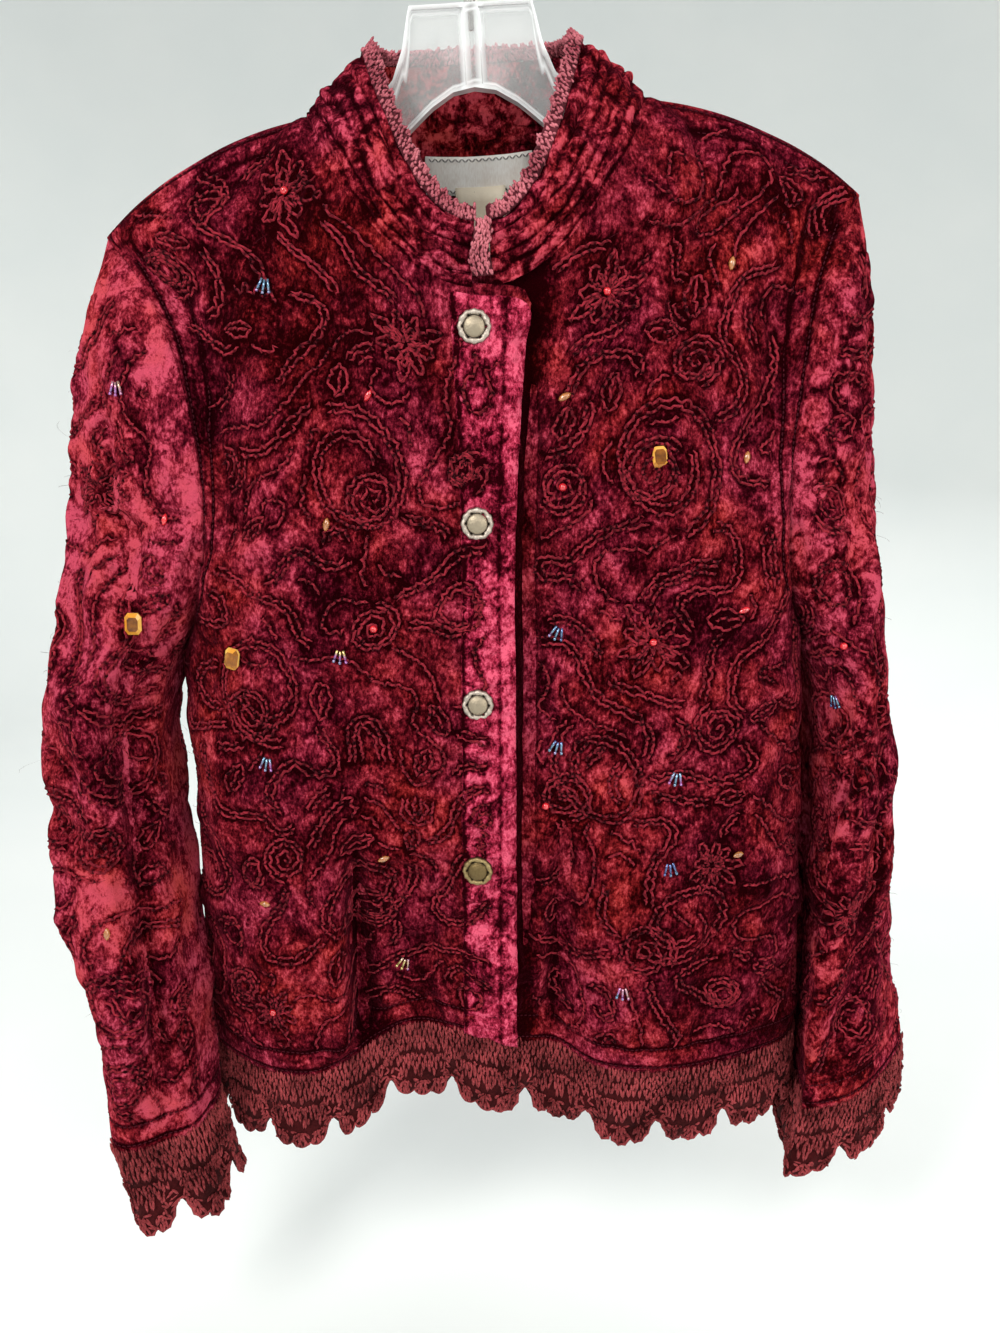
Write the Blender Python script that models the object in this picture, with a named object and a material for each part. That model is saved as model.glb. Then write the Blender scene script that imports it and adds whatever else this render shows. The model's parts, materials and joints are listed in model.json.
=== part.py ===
"""Velvet jacket on a clear hanger: cut cloth pieces as thin walls, in metres, +Z up, front towards -Y.

The origin is where the hook rests on its rod. Heights are given as drops below it.
"""
import math

import bmesh
import bpy
import numpy as np
from mathutils import Vector

for old in list(bpy.data.objects):
    bpy.data.objects.remove(old)

FRONT, BACK = -1, 1
WALL = 0.002
SEAM = 0.0003
HALF_SEAM = SEAM / 2

# Body: a flattened tube below the underarm, hung from neckline, shoulders and armholes
NECK_HALF = 0.095
SHOULDER_HALF = 0.218
CHEST_HALF = 0.1885
NECK_POINT_DROP = 0.1317
UNDERARM_DROP = 0.436
HEM_DROP = 0.708
SQUARENESS = {"right": 2.7, "left": 3.3}
LEFT_ARMHOLE_OUT = 0.014
RIDGE_Y = -0.003
SIDE_Y = -0.004
RIDGE_ROUND = 0.009
BULGE = 1.7
NECK_DROP = {FRONT: 0.2312, BACK: 0.1435}
NECK_DEPTH = {FRONT: 0.063, BACK: 0.042}
LAP_REACH = 0.018
LAP_STEP = WALL + SEAM + 0.0007
LAP_FADE = (0.022, 0.060)
LAP_CORNER = 0.012
BAND_REACH = 0.0125
HANGER_TILT = math.tan(math.radians(3.0))
TILT_FULL_DROP = 0.19
TILT_END_DROP = 0.52
TILT_LEFT_AT_HEM = 0.35
SHIFT_DROP = 0.21
LEAN_START = (0.70, 0.80)

# Columns of the panels, from the centre line (0) to the side seam (1)
S_NECK = 0.34
S_TIP = 0.64
S_LABEL = 0.075
COLLAR_END_S = 0.012
S_LAP = 2 / math.pi * math.asin(LAP_REACH / CHEST_HALF)
S_BAND = 2 / math.pi * math.asin(BAND_REACH / CHEST_HALF)
NECK_COLUMNS = 5
SHOULDER_COLUMNS = 5
ARMHOLE_COLUMNS = 9
ARMHOLE_ROW_GAP = 0.03
EDGE_INSIDE = 0.02
OWN_NORMAL = (0.40, 0.75)
FRONT_ROWS = 16
BACK_ROWS = 14


def table(columns, *rows):
    """A short table whose columns are read by name; the first one is the key."""
    names = columns.split()
    found = dict(zip(names, np.array(rows, float).T))
    found["key"] = found[names[0]]
    return found


BODY = table(
    "drop half_right half_left front back",
    (0.436, CHEST_HALF, 0.1960, 0.0690, 0.0600),
    (0.560, 0.1875, 0.2050, 0.0720, 0.0620),
    (0.640, 0.1890, 0.2095, 0.0700, 0.0640),
    (0.708, 0.1905, 0.2120, 0.0670, 0.0660),
    (0.770, 0.1915, 0.2130, 0.0650, 0.0670),
)
SHOULDER = table(
    "x drop",
    (0.095, 0.1317),
    (0.119, 0.1364),
    (0.141, 0.1430),
    (0.162, 0.1520),
    (0.180, 0.1610),
    (0.200, 0.1740),
    (0.218, 0.1890),
)
ARMHOLE = table(
    "along x depth drop",
    (0.00, 0.2180, 0.000, 0.1890),
    (0.13, 0.1985, 0.018, 0.2110),
    (0.30, 0.1800, 0.035, 0.2420),
    (0.50, 0.1660, 0.045, 0.2900),
    (0.68, 0.1610, 0.048, 0.3450),
    (0.85, 0.1680, 0.038, 0.4000),
    (1.00, CHEST_HALF, 0.000, 0.4360),
)
FRONT_FOLDS = table(
    "x half_width out",
    (-0.128, 0.036, 0.013),
    (-0.050, 0.030, -0.013),
    (0.013, 0.020, 0.003),
    (0.050, 0.020, -0.012),
    (0.118, 0.045, 0.009),
)
BACK_FOLDS = table(
    "x half_width out",
    (-0.110, 0.036, 0.008),
    (-0.030, 0.034, -0.010),
    (0.055, 0.034, 0.008),
    (0.125, 0.030, -0.006),
)
FOLDS = {FRONT: FRONT_FOLDS, BACK: BACK_FOLDS}
FOLD_START = 0.40
FOLD_FADE = 1.5
NECK_SQUARENESS = 2.2


def smooth(rows, column, at):
    """Smooth curve through a column: cubic pieces whose slopes are the mean slopes at the rows."""
    keys, values = rows["key"], rows[column]
    slopes = np.gradient(values, keys)
    i = np.clip(np.searchsorted(keys, at) - 1, 0, len(keys) - 2)
    step = keys[i + 1] - keys[i]
    t = np.clip((at - keys[i]) / step, 0, 1)
    ends = (2 * t**3 - 3 * t**2 + 1) * values[i] + (3 * t**2 - 2 * t**3) * values[i + 1]
    turns = (t**3 - 2 * t**2 + t) * slopes[i] + (t**3 - t**2) * slopes[i + 1]
    return ends + step * turns


def ease(value, low, high):
    """0 below low, 1 above high, with a soft step between."""
    t = np.clip((value - low) / (high - low), 0, 1)
    return t * t * (3 - 2 * t)


def unit(vectors):
    return vectors / np.maximum(np.linalg.norm(vectors, axis=-1, keepdims=True), 1e-12)


def hang(points):
    """The hanger leans: shoulders turn with it about the hook, and the cloth below falls straight again.

    The plane of hook and shoulder ridge comes to y 0.
    """
    x, y, z = np.moveaxis(points, -1, 0)
    drop = -z
    lean = 1 - (1 - TILT_LEFT_AT_HEM) * ease(drop, TILT_FULL_DROP, TILT_END_DROP)
    x_hung = x + HANGER_TILT * np.minimum(drop, SHIFT_DROP)
    return np.stack([x_hung, y - RIDGE_Y, z + HANGER_TILT * x * lean], -1)


def fold_out(face, x, drop):
    """Outward move of the long hem folds: a bell across each, growing downwards."""
    rows = FOLDS[face]
    bells = sum(
        out * np.exp(-(((x - centre) / half) ** 2))
        for centre, half, out in zip(rows["x"], rows["half_width"], rows["out"])
    )
    return bells * ease(drop, FOLD_START, HEM_DROP)


def ring(face, s, drop):
    """Body tube at a drop: across by the sine of s, depth by a squared-off ellipse, then the folds."""
    across = np.sin(s * math.pi / 2)
    square = np.where(s > 0, SQUARENESS["left"], SQUARENESS["right"])
    deep = np.maximum(1 - np.abs(across) ** square, 0) ** (1 / square)
    x = np.where(s > 0, smooth(BODY, "half_left", drop), smooth(BODY, "half_right", drop)) * across
    depth = smooth(BODY, "front" if face == FRONT else "back", drop) * deep
    depth = depth + fold_out(face, x, drop) * np.minimum(deep * FOLD_FADE, 1)
    return x, SIDE_Y + face * depth


def neck_reach(across):
    """Forward or backward reach of the neck's loop, by a squared-off ellipse."""
    return np.maximum(1 - across**NECK_SQUARENESS, 0) ** (1 / NECK_SQUARENESS)


def top_edge(face, s):
    """x, y and drop of a panel's upper edge: neckline, shoulder, then armhole down to the underarm."""
    far = np.abs(s)
    across = np.sin(np.clip(far / S_NECK, 0, 1) * math.pi / 2)
    neck_x = NECK_HALF * across
    neck_y = RIDGE_Y + face * NECK_DEPTH[face] * neck_reach(across)
    neck_drop = NECK_DROP[face] + (NECK_POINT_DROP - NECK_DROP[face]) * across**2
    shoulder_x = NECK_HALF + (SHOULDER_HALF - NECK_HALF) * np.clip((far - S_NECK) / (S_TIP - S_NECK), 0, 1)
    along = np.clip((far - S_TIP) / (1 - S_TIP), 0, 1)
    arm_y = RIDGE_Y + (SIDE_Y - RIDGE_Y) * along + face * smooth(ARMHOLE, "depth", along)
    wider = BODY["half_left"][0] - BODY["half_right"][0]
    left_out = LEFT_ARMHOLE_OUT * np.sin(math.pi * along) + wider * along**2
    arm_x = smooth(ARMHOLE, "x", along) + (s > 0) * left_out
    arm_drop = smooth(ARMHOLE, "drop", along)
    at_neck, at_arm = far < S_NECK, far > S_TIP
    x = np.where(at_neck, neck_x, np.where(at_arm, arm_x, shoulder_x))
    y = np.where(at_neck, neck_y, np.where(at_arm, arm_y, RIDGE_Y))
    drop = np.where(at_neck, neck_drop, np.where(at_arm, arm_drop, smooth(SHOULDER, "drop", shoulder_x)))
    return np.sign(s) * x, y, drop


def panel(face, s, v, lap=0):
    """Cloth of the body: each column falls from the upper edge (v 0) to the hem (v 1).

    Above the underarm the columns near the edge lean with it, so that none crosses the armhole, and the depth
    swells from the edge to that of the tube; shoulders start with a small round. lap is -1 on the front that
    lies over, 1 on the one that lies under, past the centre line with a low corner.
    """
    x_top, y_top, drop_top = top_edge(face, s)
    drop_top = drop_top + LAP_CORNER * ease(-lap * s, -COLLAR_END_S, S_LAP) * abs(lap)
    drop = drop_top + (HEM_DROP - drop_top) * v
    x_tube, y_tube = ring(face, s, np.maximum(drop, UNDERARM_DROP))
    fall = drop - drop_top
    part = np.clip(fall / np.maximum(UNDERARM_DROP - drop_top, 1e-6), 0, 1)
    x_lean, y_lean = lean_in(face, s, drop)
    x_fall = x_lean + (x_top - lean_in(face, s, drop_top)[0]) * (1 - part) ** 2
    far = np.abs(s)
    rounded = ease(far, S_NECK - 0.10, S_NECK) * (1 - ease(far, S_TIP, S_TIP + 0.08))
    lift = RIDGE_ROUND * np.sqrt(1 - (1 - np.clip(fall / RIDGE_ROUND, 0, 1)) ** 2) * rounded * (1 - part)
    y_fall = y_top + (y_lean - y_top) * (1 - (1 - part) ** BULGE) + face * lift
    above = drop < UNDERARM_DROP
    x = np.where(above, x_fall, x_tube)
    y = np.where(above, y_fall, y_tube)
    return np.stack([x, y + lap_step(x, lap), -drop], -1)


def lean_in(face, s, drop):
    """x and y of a column above the underarm: its place there, moved by a share of the edge's own offset."""
    edge_s = np.interp(drop, EDGE_DROPS, EDGE_S)
    x_edge = np.interp(drop, EDGE_DROPS, LEFT_EDGE_X)
    x_edge = np.where(s > 0, x_edge, -np.interp(drop, EDGE_DROPS, RIGHT_EDGE_X))
    y_edge = np.interp(drop, EDGE_DROPS, EDGE_Y[face])
    x_tube, y_tube = ring(face, np.where(s > 0, edge_s, -edge_s), UNDERARM_DROP + 0 * s)
    x, y = ring(face, s, UNDERARM_DROP + 0 * s)
    share = np.abs(s) / edge_s
    return x + (x_edge - x_tube) * share, y + (y_edge - y_tube) * share**2 * ease(edge_s, *LEAN_START)


EDGE_S = np.linspace(S_NECK, 1, 800)
LEFT_EDGE_X, _, EDGE_DROPS = top_edge(FRONT, EDGE_S)
RIGHT_EDGE_X = -top_edge(FRONT, -EDGE_S)[0]
EDGE_Y = {face: top_edge(face, EDGE_S)[1] for face in (FRONT, BACK)}


def lap_step(x, lap):
    """How far the front that lies under stands back near the centre line."""
    return LAP_STEP * (1 - ease(x, *LAP_FADE)) * (lap > 0)


def armhole_normal(face, s):
    """Seam direction of panel and sleeve: up at the shoulder, out at the chest, down at the underarm.

    Between its ends it is made square to the seam's own line.
    """
    along = (np.abs(s) - S_TIP) / (1 - S_TIP)
    turn = math.pi * along
    across = np.stack([0 * turn, face * np.sin(turn), np.cos(turn)], -1)
    ends = [top_edge(face, np.clip(s + step, -1, 1)) for step in (-0.003, 0.003)]
    line = unit(np.stack([high - low for low, high in zip(*ends)], -1) * [1, 1, -1])
    square = ease(along, 0, 0.15) * (1 - ease(along, 0.88, 1))
    lengthwise = np.sum(across * line, axis=-1) * square
    return unit(across - lengthwise[..., None] * line)


def seam_normal(face, s, own):
    """The shared seam direction, which gives way to each piece's own normal under the arm."""
    part = ease((np.abs(s) - S_TIP) / (1 - S_TIP), *OWN_NORMAL)[..., None]
    return unit((1 - part) * armhole_normal(face, s) + part * own)


def panel_normal(face, s, v, lap=0):
    """Outward normal from small steps along the panel, made common to both pieces at each seam."""
    step = 0.002
    far = np.abs(s)
    arm = (v < 1e-9) & (far > S_TIP + 1e-9)
    ridge = (v < 1e-9) & (far >= S_NECK - 1e-9) & (far <= S_TIP + 1e-9)
    v = np.where(arm, EDGE_INSIDE, v)
    s_low, s_high = np.clip(s - step, -1, 1), np.clip(s + step, -1, 1)
    v_low, v_high = np.clip(v - step, 0, 1), np.clip(v + step, 0, 1)
    along_s = panel(face, s_high, v, lap) - panel(face, s_low, v, lap)
    along_v = panel(face, s, v_high, lap) - panel(face, s, v_low, lap)
    normal = face * np.cross(along_s, along_v)
    normal[ridge, 1] = 0
    normal = unit(normal)
    normal[far > 1 - 1e-9] = [1, 0, 0]
    normal[s < -1 + 1e-9] = [-1, 0, 0]
    normal[arm] = seam_normal(face, s[arm], normal[arm])
    return normal


def paint(target, name, colour, roughness, metal=0.0, through=0.0):
    material = bpy.data.materials.new(name)
    material.use_nodes = True
    shader = material.node_tree.nodes["Principled BSDF"]
    shader.inputs["Base Color"].default_value = (*colour, 1)
    shader.inputs["Roughness"].default_value = roughness
    shader.inputs["Metallic"].default_value = metal
    shader.inputs["Transmission Weight"].default_value = through
    target.materials.append(material)


LOOKS = {
    "velvet": ((0.22, 0.012, 0.03), 0.8, 0.0, 0.0),
    "crochet": ((0.30, 0.06, 0.09), 0.9, 0.0, 0.0),
    "trim": ((0.48, 0.16, 0.20), 0.9, 0.0, 0.0),
    "antique": ((0.42, 0.33, 0.20), 0.4, 1.0, 0.0),
    "amber": ((0.45, 0.16, 0.03), 0.1, 0.0, 0.3),
    "woven": ((0.75, 0.70, 0.60), 0.8, 0.0, 0.0),
    "clear": ((0.85, 0.88, 0.88), 0.2, 0.0, 0.7),
    "wire": ((0.62, 0.60, 0.58), 0.3, 1.0, 0.0),
}


def halves(points, face):
    """A quad as two triangles along its shorter diagonal, so that both sides of a seam are split alike."""
    if len(face) != 4:
        return [face]
    a, b, c, d = face
    first, second = np.linalg.norm(points[a] - points[c]), np.linalg.norm(points[b] - points[d])
    return [[a, b, c], [a, c, d]] if first < second else [[a, b, d], [b, c, d]]


def solid(name, look, points, faces):
    """A closed mesh node with its faces turned outwards."""
    mesh = bpy.data.meshes.new(name)
    points = np.array(points)
    faces = [part for face in faces for part in halves(points, face)]
    mesh.from_pydata([tuple(p) for p in points], [], faces)
    shape = bmesh.new()
    shape.from_mesh(mesh)
    bmesh.ops.recalc_face_normals(shape, faces=shape.faces)
    shape.to_mesh(mesh)
    shape.free()
    paint(mesh, look, *LOOKS[look])
    made = bpy.data.objects.new(name, mesh)
    bpy.context.scene.collection.objects.link(made)
    return made


def shorter_second(grid):
    """Whether the second diagonal of each cell of a grid is the shorter one."""
    first = np.linalg.norm(grid[1:, 1:] - grid[:-1, :-1], axis=-1)
    second = np.linalg.norm(grid[1:, :-1] - grid[:-1, 1:], axis=-1)
    return second < first


def wall_cell(corner, r, c, second):
    """Both layers of one cell, split along the same diagonal, so that a twisted cell keeps its thickness."""
    triangles = []
    for layer in (0, 1):
        a, b = corner(layer, r, c), corner(layer, r, c + 1)
        d, e = corner(layer, r + 1, c), corner(layer, r + 1, c + 1)
        pair = [[a, b, d], [b, e, d]] if second else [[a, b, e], [a, e, d]]
        triangles += [t if layer else t[::-1] for t in pair if len(set(t)) == 3]
    return triangles


def row_rim(corner, r, c):
    """One quad of the rim that joins the two layers along a row."""
    return [corner(0, r, c), corner(0, r, c + 1), corner(1, r, c + 1), corner(1, r, c)]


def column_rim(corner, r, c):
    """One quad of the rim that joins the two layers along a column."""
    return [corner(0, r, c), corner(1, r, c), corner(1, r + 1, c), corner(0, r + 1, c)]


def wall(name, look, inner, outer, closed=False):
    """A thin wall between two grids of points; closed joins the last column to the first."""
    rows, columns = inner.shape[:2]
    count = rows * columns
    cell = lambda layer, r, c: layer * count + r * columns + c % columns
    spans = columns if closed else columns - 1
    second = shorter_second(np.concatenate([outer, outer[:, :1]], axis=1))
    faces = []
    for r in range(rows - 1):
        for c in range(spans):
            faces += wall_cell(cell, r, c, second[r, c])
    for c in range(spans):
        faces += [row_rim(cell, 0, c), row_rim(cell, rows - 1, c)]
    if not closed:
        for r in range(rows - 1):
            faces += [column_rim(cell, r, 0), column_rim(cell, r, columns - 1)]
    return solid(name, look, hang(np.concatenate([inner.reshape(-1, 3), outer.reshape(-1, 3)])), faces)


def pull_in(grid, edges, gap=HALF_SEAM):
    """Moves named edges of a grid towards the next row or column, to leave a seam's gap."""
    grid = grid.copy()
    places = {
        "top": (np.s_[0], np.s_[1]),
        "bottom": (np.s_[-1], np.s_[-2]),
        "first": (np.s_[:, 0], np.s_[:, 1]),
        "last": (np.s_[:, -1], np.s_[:, -2]),
    }
    for edge in edges:
        at, towards = places[edge]
        grid[at] = grid[at] + gap * unit(grid[towards] - grid[at])
    return grid


def columns_between(marks, counts):
    """Column places that keep each mark, with a count of spans between one mark and the next."""
    spans = [np.linspace(a, b, many + 1)[:-1] for a, b, many in zip(marks, marks[1:], counts)]
    return np.concatenate(spans + [marks[-1:]])


def rows_down(count):
    """Row places from the upper edge, close together where the shoulder rounds over."""
    return np.concatenate([[0, 0.0055, 0.018], np.linspace(0.05, 1, count - 2)])


def panel_walls(face, s, v, lap=0, out=0.0, thick=WALL):
    """Inner and outer grids of a wall on a panel, moved out from its face."""
    grid_s, grid_v = np.meshgrid(s, v)
    by_armhole = ease(np.abs(grid_s), S_TIP, S_TIP + 0.08) * (grid_v > 0)
    grid_v = grid_v + ARMHOLE_ROW_GAP * by_armhole * (1 - grid_v) ** 6
    normal = panel_normal(face, grid_s, grid_v, lap)
    outer = panel(face, grid_s, grid_v, lap) + out * normal
    return outer - thick * normal, outer


FRONT_MARKS = np.array([-S_LAP, COLLAR_END_S, S_BAND, S_NECK, S_TIP, 1])
FRONT_COUNTS = (2, 1, NECK_COLUMNS, SHOULDER_COLUMNS, ARMHOLE_COLUMNS)
BACK_MARKS = np.array([-1, -S_TIP, -S_NECK, -S_LABEL, S_LABEL, S_NECK, S_TIP, 1])
BACK_COUNTS = (ARMHOLE_COLUMNS, SHOULDER_COLUMNS, 4, 4, 4, SHOULDER_COLUMNS, ARMHOLE_COLUMNS)
S_FRONT = columns_between(FRONT_MARKS, FRONT_COUNTS)
S_BACK = columns_between(BACK_MARKS, BACK_COUNTS)
V_FRONT, V_BACK = rows_down(FRONT_ROWS), rows_down(BACK_ROWS)

for name, face, columns, rows, lap, seams in (
    ("front_right", FRONT, -S_FRONT, V_FRONT, -1, ("top", "last")),
    ("front_left", FRONT, S_FRONT, V_FRONT, 1, ("top", "last")),
    ("back", BACK, S_BACK, V_BACK, 0, ("top", "first", "last")),
):
    inner, outer = panel_walls(face, columns, rows, lap)
    wall(name, "velvet", pull_in(inner, seams), pull_in(outer, seams))

# Button band: a strip lying on the right front, along its free edge
BAND_WALL = 0.0015
BAND_OUT = BAND_WALL + SEAM
inner, outer = panel_walls(FRONT, -S_FRONT[:4], np.append(V_FRONT[2:-1], 0.998), -1, BAND_OUT, BAND_WALL)
wall("front_band", "velvet", inner, outer)

# Sleeves: level slices from the shoulder tip to the cuff, open at the armhole above the underarm
CUFF_ROWS = 10
DEEPEST_ALONG = 0.68
SLEEVE_SQUARENESS = {"right": (2.2, 2.2), "left": (2.2, 1.5)}
SQUARE_DROPS = (0.50, 0.70)
CUFF_DROP = {"right": 0.733, "left": 0.739}
CUFF_SLANT = {"right": 0.0, "left": 0.012}
CUFF_LOW_TURN = 0.75
UNDERARM_GAP = 0.0017
RIGHT_SLEEVE = table(
    "drop x_outer y_outer x_front y_front x_back y_back x_inner",
    (0.189, 0.2180, -0.0030, 0.2180, -0.0030, 0.2180, -0.0030, 0.2180),
    (0.230, 0.2315, -0.0050, 0.1870, -0.0300, 0.1870, 0.0240, 0.1870),
    (0.345, 0.2485, -0.0090, 0.1610, -0.0517, 0.1610, 0.0443, 0.1610),
    (0.400, 0.2570, -0.0140, 0.1980, -0.0635, 0.1980, 0.0455, 0.1720),
    (0.436, 0.2625, -0.0200, 0.2180, -0.0705, 0.2200, 0.0395, 0.1885),
    (0.480, 0.2670, -0.0270, 0.2260, -0.0785, 0.2280, 0.0315, 0.1985),
    (0.560, 0.2605, -0.0420, 0.2240, -0.0915, 0.2260, 0.0095, 0.1930),
    (0.660, 0.2425, -0.0630, 0.2110, -0.1045, 0.2110, -0.0215, 0.1825),
    (0.733, 0.2375, -0.0730, 0.2060, -0.1085, 0.2060, -0.0365, 0.1780),
    (0.800, 0.2375, -0.0740, 0.2060, -0.1115, 0.2060, -0.0365, 0.1770),
)
LEFT_SLEEVE = table(
    "drop x_outer y_outer x_front y_front x_back y_back x_inner",
    (0.189, 0.2180, -0.0030, 0.2180, -0.0030, 0.2180, -0.0030, 0.2180),
    (0.230, 0.2235, -0.0030, 0.1870, -0.0300, 0.1870, 0.0240, 0.1870),
    (0.345, 0.2355, -0.0030, 0.1763, -0.0517, 0.1763, 0.0443, 0.1763),
    (0.400, 0.2435, -0.0030, 0.2010, -0.0575, 0.2010, 0.0475, 0.1798),
    (0.436, 0.2485, -0.0030, 0.2160, -0.0595, 0.2190, 0.0485, 0.1960),
    (0.480, 0.2545, -0.0030, 0.2240, -0.0615, 0.2300, 0.0465, 0.2080),
    (0.560, 0.2655, -0.0020, 0.2250, -0.0625, 0.2400, 0.0435, 0.2140),
    (0.660, 0.2800, -0.0030, 0.2150, -0.0635, 0.2500, 0.0340, 0.2170),
    (0.746, 0.2960, -0.0060, 0.2090, -0.0640, 0.2600, 0.0220, 0.2180),
    (0.820, 0.2980, -0.0040, 0.2080, -0.0660, 0.2620, 0.0220, 0.2180),
)
SLEEVES = {"right": (-1, RIGHT_SLEEVE), "left": (1, LEFT_SLEEVE)}
SLEEVE_FOLDS = table(
    "turn half_width out",
    (-0.85, 0.16, 0.0040),
    (-0.45, 0.14, -0.0045),
    (0.36, 0.13, 0.0065),
    (0.62, 0.13, -0.0050),
)


def sleeve(side, turn, drop):
    """Sleeve cloth: at each drop an arc from the outer side (turn 0) forwards (to 1) and backwards (to -1).

    Above the underarm the arc ends on the armhole seam. Below it the two ends meet on the inner side. Each
    half is two quarters of an ellipse, about the point that reaches furthest forwards or backwards.
    """
    sign, rows = SLEEVES[side]
    read = lambda column: smooth(rows, column, drop)
    forward = turn >= 0
    face = np.where(forward, FRONT, BACK)
    along = np.interp(drop, FINE_DROPS, FINE_ALONG)
    on_seam = S_TIP + (1 - S_TIP) * along
    ahead, behind = top_edge(FRONT, sign * on_seam), top_edge(BACK, sign * on_seam)
    seam = [np.where(forward, a, b) for a, b in zip(ahead, behind)]
    seam[0] = sign * seam[0]
    high = along < DEEPEST_ALONG
    open_end = drop < UNDERARM_DROP
    far_x = np.where(high, seam[0], np.where(forward, read("x_front"), read("x_back")))
    far_y = np.where(high, seam[1], np.where(forward, read("y_front"), read("y_back")))
    end_x = np.where(open_end, seam[0], read("x_inner"))
    end_y = np.where(open_end, seam[1], read("y_outer"))
    reach = np.clip((read("y_outer") - end_y) / np.where(high, 1, read("y_outer") - far_y), 0, 1)
    last = np.where(high, math.pi / 2, math.pi - np.arcsin(reach))
    angle = np.abs(turn) * last
    at_arm, at_cuff = SLEEVE_SQUARENESS[side]
    power = 2 / (at_arm + (at_cuff - at_arm) * ease(drop, *SQUARE_DROPS))
    cos, sin = np.abs(np.cos(angle)) ** power, np.abs(np.sin(angle)) ** power
    end_cos, end_sin = np.abs(np.cos(last)) ** power, np.abs(np.sin(last)) ** power
    near = angle <= math.pi / 2
    part = np.where(high, 0, cos / np.maximum(end_cos, 1e-9))
    x = np.where(near, far_x + (read("x_outer") - far_x) * cos, far_x + (end_x - far_x) * part)
    sink = np.where(high, 0, (1 - sin) / np.maximum(1 - end_sin, 1e-9))
    y_near = read("y_outer") + (far_y - read("y_outer")) * sin
    y = np.where(near, y_near, far_y + (end_y - far_y) * sink)
    swell = 0 * turn
    for centre, half, out in zip(SLEEVE_FOLDS["turn"], SLEEVE_FOLDS["half_width"], SLEEVE_FOLDS["out"]):
        swell = swell + out * np.exp(-(((turn - centre) / half) ** 2))
    swell = swell * ease(drop, UNDERARM_DROP, 0.62)
    x = x + swell * np.cos(math.pi * turn)
    y = y - swell * np.sin(math.pi * turn)
    return np.stack([sign * x, y, -drop], -1)


def sleeve_normal(side, turn, drop):
    """Outward normal from small steps; the armhole edge takes the panels' seam direction."""
    step = 0.004
    on_seam = (np.abs(turn) > 1 - 1e-9) & (drop <= UNDERARM_DROP) | (drop <= ARMHOLE["drop"][0])
    turn = np.where(on_seam & (drop < UNDERARM_DROP), turn * (1 - EDGE_INSIDE), turn)
    wrap = lambda t: np.where(drop >= UNDERARM_DROP, (t + 1) % 2 - 1, np.clip(t, -1, 1))
    around = sleeve(side, wrap(turn + step), drop) - sleeve(side, wrap(turn - step), drop)
    down = sleeve(side, turn, drop + step) - sleeve(side, turn, np.maximum(drop - step, ARMHOLE["drop"][0]))
    normal = unit(SLEEVES[side][0] * np.cross(around, down))
    edge_s = SLEEVES[side][0] * (S_TIP + (1 - S_TIP) * np.interp(drop, FINE_DROPS, FINE_ALONG))
    ahead, behind = seam_normal(FRONT, edge_s, normal), seam_normal(BACK, edge_s, normal)
    seam = np.where((turn >= 0)[..., None], ahead, behind)
    return np.where(on_seam[..., None], seam, normal)


def sleeve_wall(name, look, inner, outer, seam_rows):
    """A tube wall whose first row is one point, with the seam edges open down to seam_rows."""
    rows, columns = inner.shape[:2]
    numbers = {}

    def corner(layer, r, c):
        c = 0 if r == 0 or (r >= seam_rows and c == columns - 1) else c
        return numbers.setdefault((layer, r, c), len(numbers))

    second = shorter_second(outer)
    faces = []
    for r in range(rows - 1):
        for c in range(columns - 1):
            faces += wall_cell(corner, r, c, second[r, c])
    for c in range(columns - 1):
        faces.append(row_rim(corner, rows - 1, c))
    for r in range(seam_rows):
        faces += [column_rim(corner, r, 0), column_rim(corner, r, columns - 1)]
    layers = (inner, outer)
    points = [layers[layer][r, c] for layer, r, c in numbers]
    return solid(name, look, hang(np.array(points)), faces)


def inner_front(turn):
    """1 on the sleeve's inner front, where it swings forwards, to -1 on the side across from it."""
    return np.cos(math.pi * (turn - CUFF_LOW_TURN))


def cuff_edge(side, turn):
    """Drop of the velvet's edge at the cuff, lowest on the inner front."""
    return CUFF_DROP[side] + CUFF_SLANT[side] * inner_front(turn)


FINE_ALONG = np.linspace(0, 1, 400)
FINE_DROPS = smooth(ARMHOLE, "drop", FINE_ALONG)
SEAM_DROPS = smooth(ARMHOLE, "drop", np.linspace(0, 1, ARMHOLE_COLUMNS + 1))
TURNS = np.linspace(-1, 1, 19)
for side in SLEEVES:
    share = np.concatenate([0 * SEAM_DROPS, np.arange(1, CUFF_ROWS + 1) / CUFF_ROWS])
    turn, start = np.meshgrid(TURNS, np.append(SEAM_DROPS, np.full(CUFF_ROWS, UNDERARM_DROP)))
    drop = start + share[:, None] * (cuff_edge(side, turn) - UNDERARM_DROP)
    outer = sleeve(side, turn, drop)
    inner = outer - WALL * sleeve_normal(side, turn, drop)
    underarm_gap = UNDERARM_GAP * ease(np.linspace(0, 1, ARMHOLE_COLUMNS + 1), 0.3, 0.6)
    for grid in (inner, outer):
        rim = np.s_[: ARMHOLE_COLUMNS + 1]
        low = grid[ARMHOLE_COLUMNS + 1, 0]
        for edge, beside in ((0, 1), (-1, -2)):
            grid[rim, edge] += SEAM * unit(grid[rim, beside] - grid[rim, edge])
            grid[rim, edge, 0] += SLEEVES[side][0] * underarm_gap
        grid[0] = grid[0, 0] + SEAM * unit(grid[1, 9] - grid[0, 9])
        underarm = grid[ARMHOLE_COLUMNS, 0]
        grid[ARMHOLE_COLUMNS, (0, -1)] = underarm + SEAM * unit(low - underarm)
    sleeve_wall("sleeve_" + side, "velvet", inner, outer, ARMHOLE_COLUMNS)

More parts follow.
